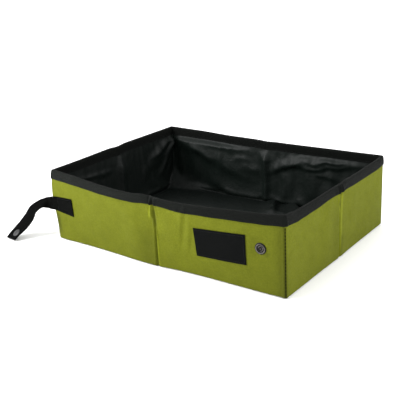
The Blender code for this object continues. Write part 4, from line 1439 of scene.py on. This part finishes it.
# Strap: the sewn base lies on the cover, and the free end follows the same route as the solid
strap = {
    "width": 0.0255, "thickness": 0.0014, "middle": 0.0545, "baseLength": 0.0400,
    "start": (-0.2009, -0.1457, 0.0545), "reach": (-0.0609, -0.0436, -0.0519),
    "shares": ((0.00, 0.00, 0.00), (0.13, 0.00, -0.005), (0.30, 0.00, -0.025), (0.475, 0.10, 0.05),
               (0.63, 0.25, 0.205), (0.74, 0.385, 0.445), (0.865, 0.545, 0.675), (0.975, 0.755, 0.86),
               (1.00, 1.00, 1.00)),
    "tipAcross": (-0.98, 0.176, -0.057), "twistStart": 0.06, "twistEnd": 0.36, "routeStep": 0.01,
    # share of the route (the sewn base is -1 to 0), width above and below the middle, painted shade
    "spread": ((-1.00, 1.25, 0.96, 0.00), (-0.50, 1.14, 0.82, 0.05), (0.00, 1.01, 0.66, 0.40),
               (0.10, 0.89, 0.69, 0.70), (0.16, 0.83, 0.72, 0.75), (0.20, 0.70, 0.74, 0.75),
               (0.245, 0.62, 0.71, 0.75), (0.30, 0.75, 0.73, 0.75), (0.35, 0.92, 0.81, 0.72),
               (0.50, 0.92, 0.87, 0.70), (0.60, 0.95, 1.06, 0.65), (0.80, 1.10, 1.08, 0.55),
               (1.00, 0.99, 1.00, 0.50)),
    "cut": 0.30, "bend": 0.52, "bendReach": 0.006, "steps": 70, "baseSteps": 30, "nearSteps": 24,
    "bulgeEnd": 0.25, "pastZone": 1.001, "basePress": 0.0003, "baseStart": 0.0006, "baseCalm": 0.012,
    "cornerProud": 0.0006, "cornerProudEnd": 0.2, "cornerBend": (0.0005, -0.0065),
    "edgeSteps": 4, "faceSteps": 8, "endSqueeze": (0.9, 0.8), "feel": (0.001, 0.008),
    "snapFromTip": 0.0125, "snapOffset": 0.0030, "snapSteps": 64, "smoothUnder": 50,
    "sewInset": 0.0022, "sewPitch": 0.0030, "sewEnd": 0.006,
    "cap": ((0.0, 0.0013), (0.0022, 0.00128), (0.0040, 0.0011), (0.0054, 0.00078), (0.0060, 0.0004),
            (0.0062, 0.0001), (0.0062, -0.0002), (0.0016, -0.0002), (0.0016, -0.0019), (0.0, -0.0019)),
    "socket": ((0.0, 0.0006), (0.0027, 0.0006), (0.0027, 0.0022), (0.0030, 0.0028), (0.0041, 0.0028),
               (0.0046, 0.0023), (0.0047, 0.0011), (0.0055, 0.0008), (0.0058, 0.0004), (0.0058, 0.0001),
               (0.0, 0.0001)),
}


def routePlace(share):
    # smooth through the listed shares of the reach
    points = [Vector(strap["start"]) + Vector([reach * part for reach, part in zip(strap["reach"], row)])
              for row in strap["shares"]]
    count = len(points) - 1
    index = min(int(share * count), count - 1)
    part = share * count - index
    here, there = points[index], points[index + 1]
    before = points[index - 1] if index > 0 else here * 2 - there
    after = points[index + 2] if index + 2 <= count else there * 2 - here
    slopeHere, slopeThere = (there - before) / 2, (after - here) / 2
    square, cube = part ** 2, part ** 3
    return (here * (2 * cube - 3 * square + 1) + slopeHere * (cube - 2 * square + part)
            + there * (3 * square - 2 * cube) + slopeThere * (cube - square))


def routeFrame(share):
    # (place on the outer face, along, across, out) at a share of the free strap's route
    before = routePlace(max(share - strap["routeStep"], 0))
    after = routePlace(min(share + strap["routeStep"], 1))
    along = (after - before).normalized()
    turn = (share - strap["twistStart"]) / (strap["twistEnd"] - strap["twistStart"])
    across = Vector((0, 0, 1)).slerp(Vector(strap["tipAcross"]).normalized(), float(smoothStep(turn)))
    out = across.cross(along).normalized()
    atCorner, inBulge = (1 - float(smoothStep(share / strap[name]))
                         for name in ("cornerProudEnd", "bulgeEnd"))
    place = routePlace(share) + Vector((0, -strap["cornerProud"], 0)) * atCorner
    place.x -= float(cornerBulge(*-halfSize, strap["middle"])) * inBulge
    return place, along, along.cross(out), out


def baseFrame(run):
    # the same on the sewn base, run metres from the corner
    at, tall = np.array([run]), np.array([strap["middle"]])
    outset = -(strap["basePress"] + strap["thickness"])
    step, rise = strap["feel"]

    def point(place, height):
        calm = smoothStep(place / strap["baseCalm"])
        proud = coverProud(place, height) * calm + strap["cornerProud"] * (1 - calm)
        spot = wallPoint(np.maximum(place, ring["cornerZone"] * strap["pastZone"]), height, outset, proud)
        spot[:, 0] = place - ring["halfLength"]
        return spot[0]

    along = Vector(point(at - step, tall) - point(at + step, tall)).normalized()
    upward = Vector(point(at, tall + rise) - point(at, tall - rise)).normalized()
    out = upward.cross(along).normalized()
    return Vector(point(at, tall)), along, along.cross(out), out


def webbingSection():
    # cross-section with rounded edges; the outer face is at 0 and the inner one a thickness below
    half, radius = strap["width"] / 2, strap["thickness"] / 2
    points = []
    for side, turnFrom in ((1, pi / 2), (-1, 3 * pi / 2)):
        for number in range(strap["edgeSteps"] + 1):
            angle = turnFrom - pi * number / strap["edgeSteps"]
            points.append((side * (half - radius) + radius * cos(angle), -radius + radius * sin(angle)))
    section = []
    for before, after in zip(points, points[1:] + points[:1]):
        steps = strap["faceSteps"] if abs(after[0] - before[0]) > radius * 4 else 1
        section += [(before[0] + (after[0] - before[0]) * step / steps, before[1]) for step in range(steps)]
    return section


def strapSpread(share):
    # width above the middle, width below it and painted shade at a share of the route
    shares, *rows = np.array(strap["spread"]).T
    return [float(np.interp(share, shares, row)) for row in rows]


def strapSew(name, frames, spread):
    # rows of stitches round a stretch of strap, standing on its outer face
    half, inset = strap["width"] / 2, strap["sewInset"]
    edges = [(-half * below + inset, half * above - inset) for above, below, paintedShading in spread]
    sewn = [(place + across * edge[side], along, out) for side in (0, 1)
            for (place, along, across, out), edge in zip(frames, edges)]
    for end in (0, -1):
        place, along, across, out = frames[end]
        sewn += [(place + across * side, across, out) for side in evenly(*edges[end], strap["sewPitch"])]
    return stitchPiece(name, *(np.array(column) for column in zip(*sewn)))


def buildStrap():
    section = webbingSection()
    baseRuns = np.linspace(strap["baseLength"], strap["baseStart"], strap["baseSteps"])
    nearShares = np.linspace(0, strap["cut"], strap["nearSteps"])
    farShares = np.linspace(strap["cut"], 1, strap["steps"])
    nearFrames = [baseFrame(run) for run in baseRuns] + [routeFrame(share) for share in nearShares]
    farFrames = [routeFrame(share) for share in farShares]
    nearSpread = [strapSpread(share) for share in (*-baseRuns / strap["baseLength"], *nearShares)]
    length, farLength = (sum((after[0] - before[0]).length for before, after in zip(frames, frames[1:]))
                         for frames in (nearFrames, farFrames))
    baseEnd, tip = strap["endSqueeze"]
    near = sweptPiece("strapBase", nearFrames, section, nearSpread,
                      lambda share: baseEnd if share == 0 else 1.0, finishes["webbing"])
    far = sweptPiece("strapEnd", farFrames, section, [strapSpread(share) for share in farShares],
                     lambda share: tip if share == 1 else 1.0, finishes["webbing"], mapStart=length)
    sewnRuns = np.arange(strap["baseLength"] - strap["sewInset"], strap["sewEnd"], -strap["sewPitch"])
    baseSewn = strapSew("strapBaseStitches", [baseFrame(run) for run in sewnRuns],
                        [strapSpread(-run / strap["baseLength"]) for run in sewnRuns])
    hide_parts("strap_base", "strap")
    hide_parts("strap_tip")
    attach(baseSewn, "front_left")
    corner = Vector((*-halfSize, strap["middle"]))
    start, end = (corner + Vector((off, 0, 0)) for off in strap["cornerBend"])
    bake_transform(near)
    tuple(start)
    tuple(end)
    place, along, across, out = routeFrame(strap["bend"])
    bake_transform(far)
    # the snap sits a little short of the tip
    step = strap["routeStep"] / 2
    perShare = (routePlace(1) - routePlace(1 - step)).length / step
    place, along, across, out = routeFrame(1 - strap["snapFromTip"] / perShare)
    seat = Matrix((along, across, out)).transposed().to_4x4()
    seat = Matrix.Translation(place - across * strap["snapOffset"]) @ seat
    under = seat @ Matrix.Translation((0, 0, -strap["thickness"])) @ Matrix.Rotation(pi, 4, "X")
    cap = turnedPiece("strapSnapCap", strap["cap"], strap["snapSteps"], seat, finishes["snapCap"])
    socket = turnedPiece("strapSnapSocket", strap["socket"], strap["snapSteps"], under,
                         finishes["gunmetal"])
    for item, nodeName, slot in ((cap, "strap_snap_cap", "snap_cap"),
                                 (socket, "strap_snap_socket", "snap_metal")):
        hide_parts(nodeName)
        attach(item, "strap_tip")


buildPatch()
buildSnap()
buildCornerSeam()
buildStrap()
print("patch, snap and strap added")
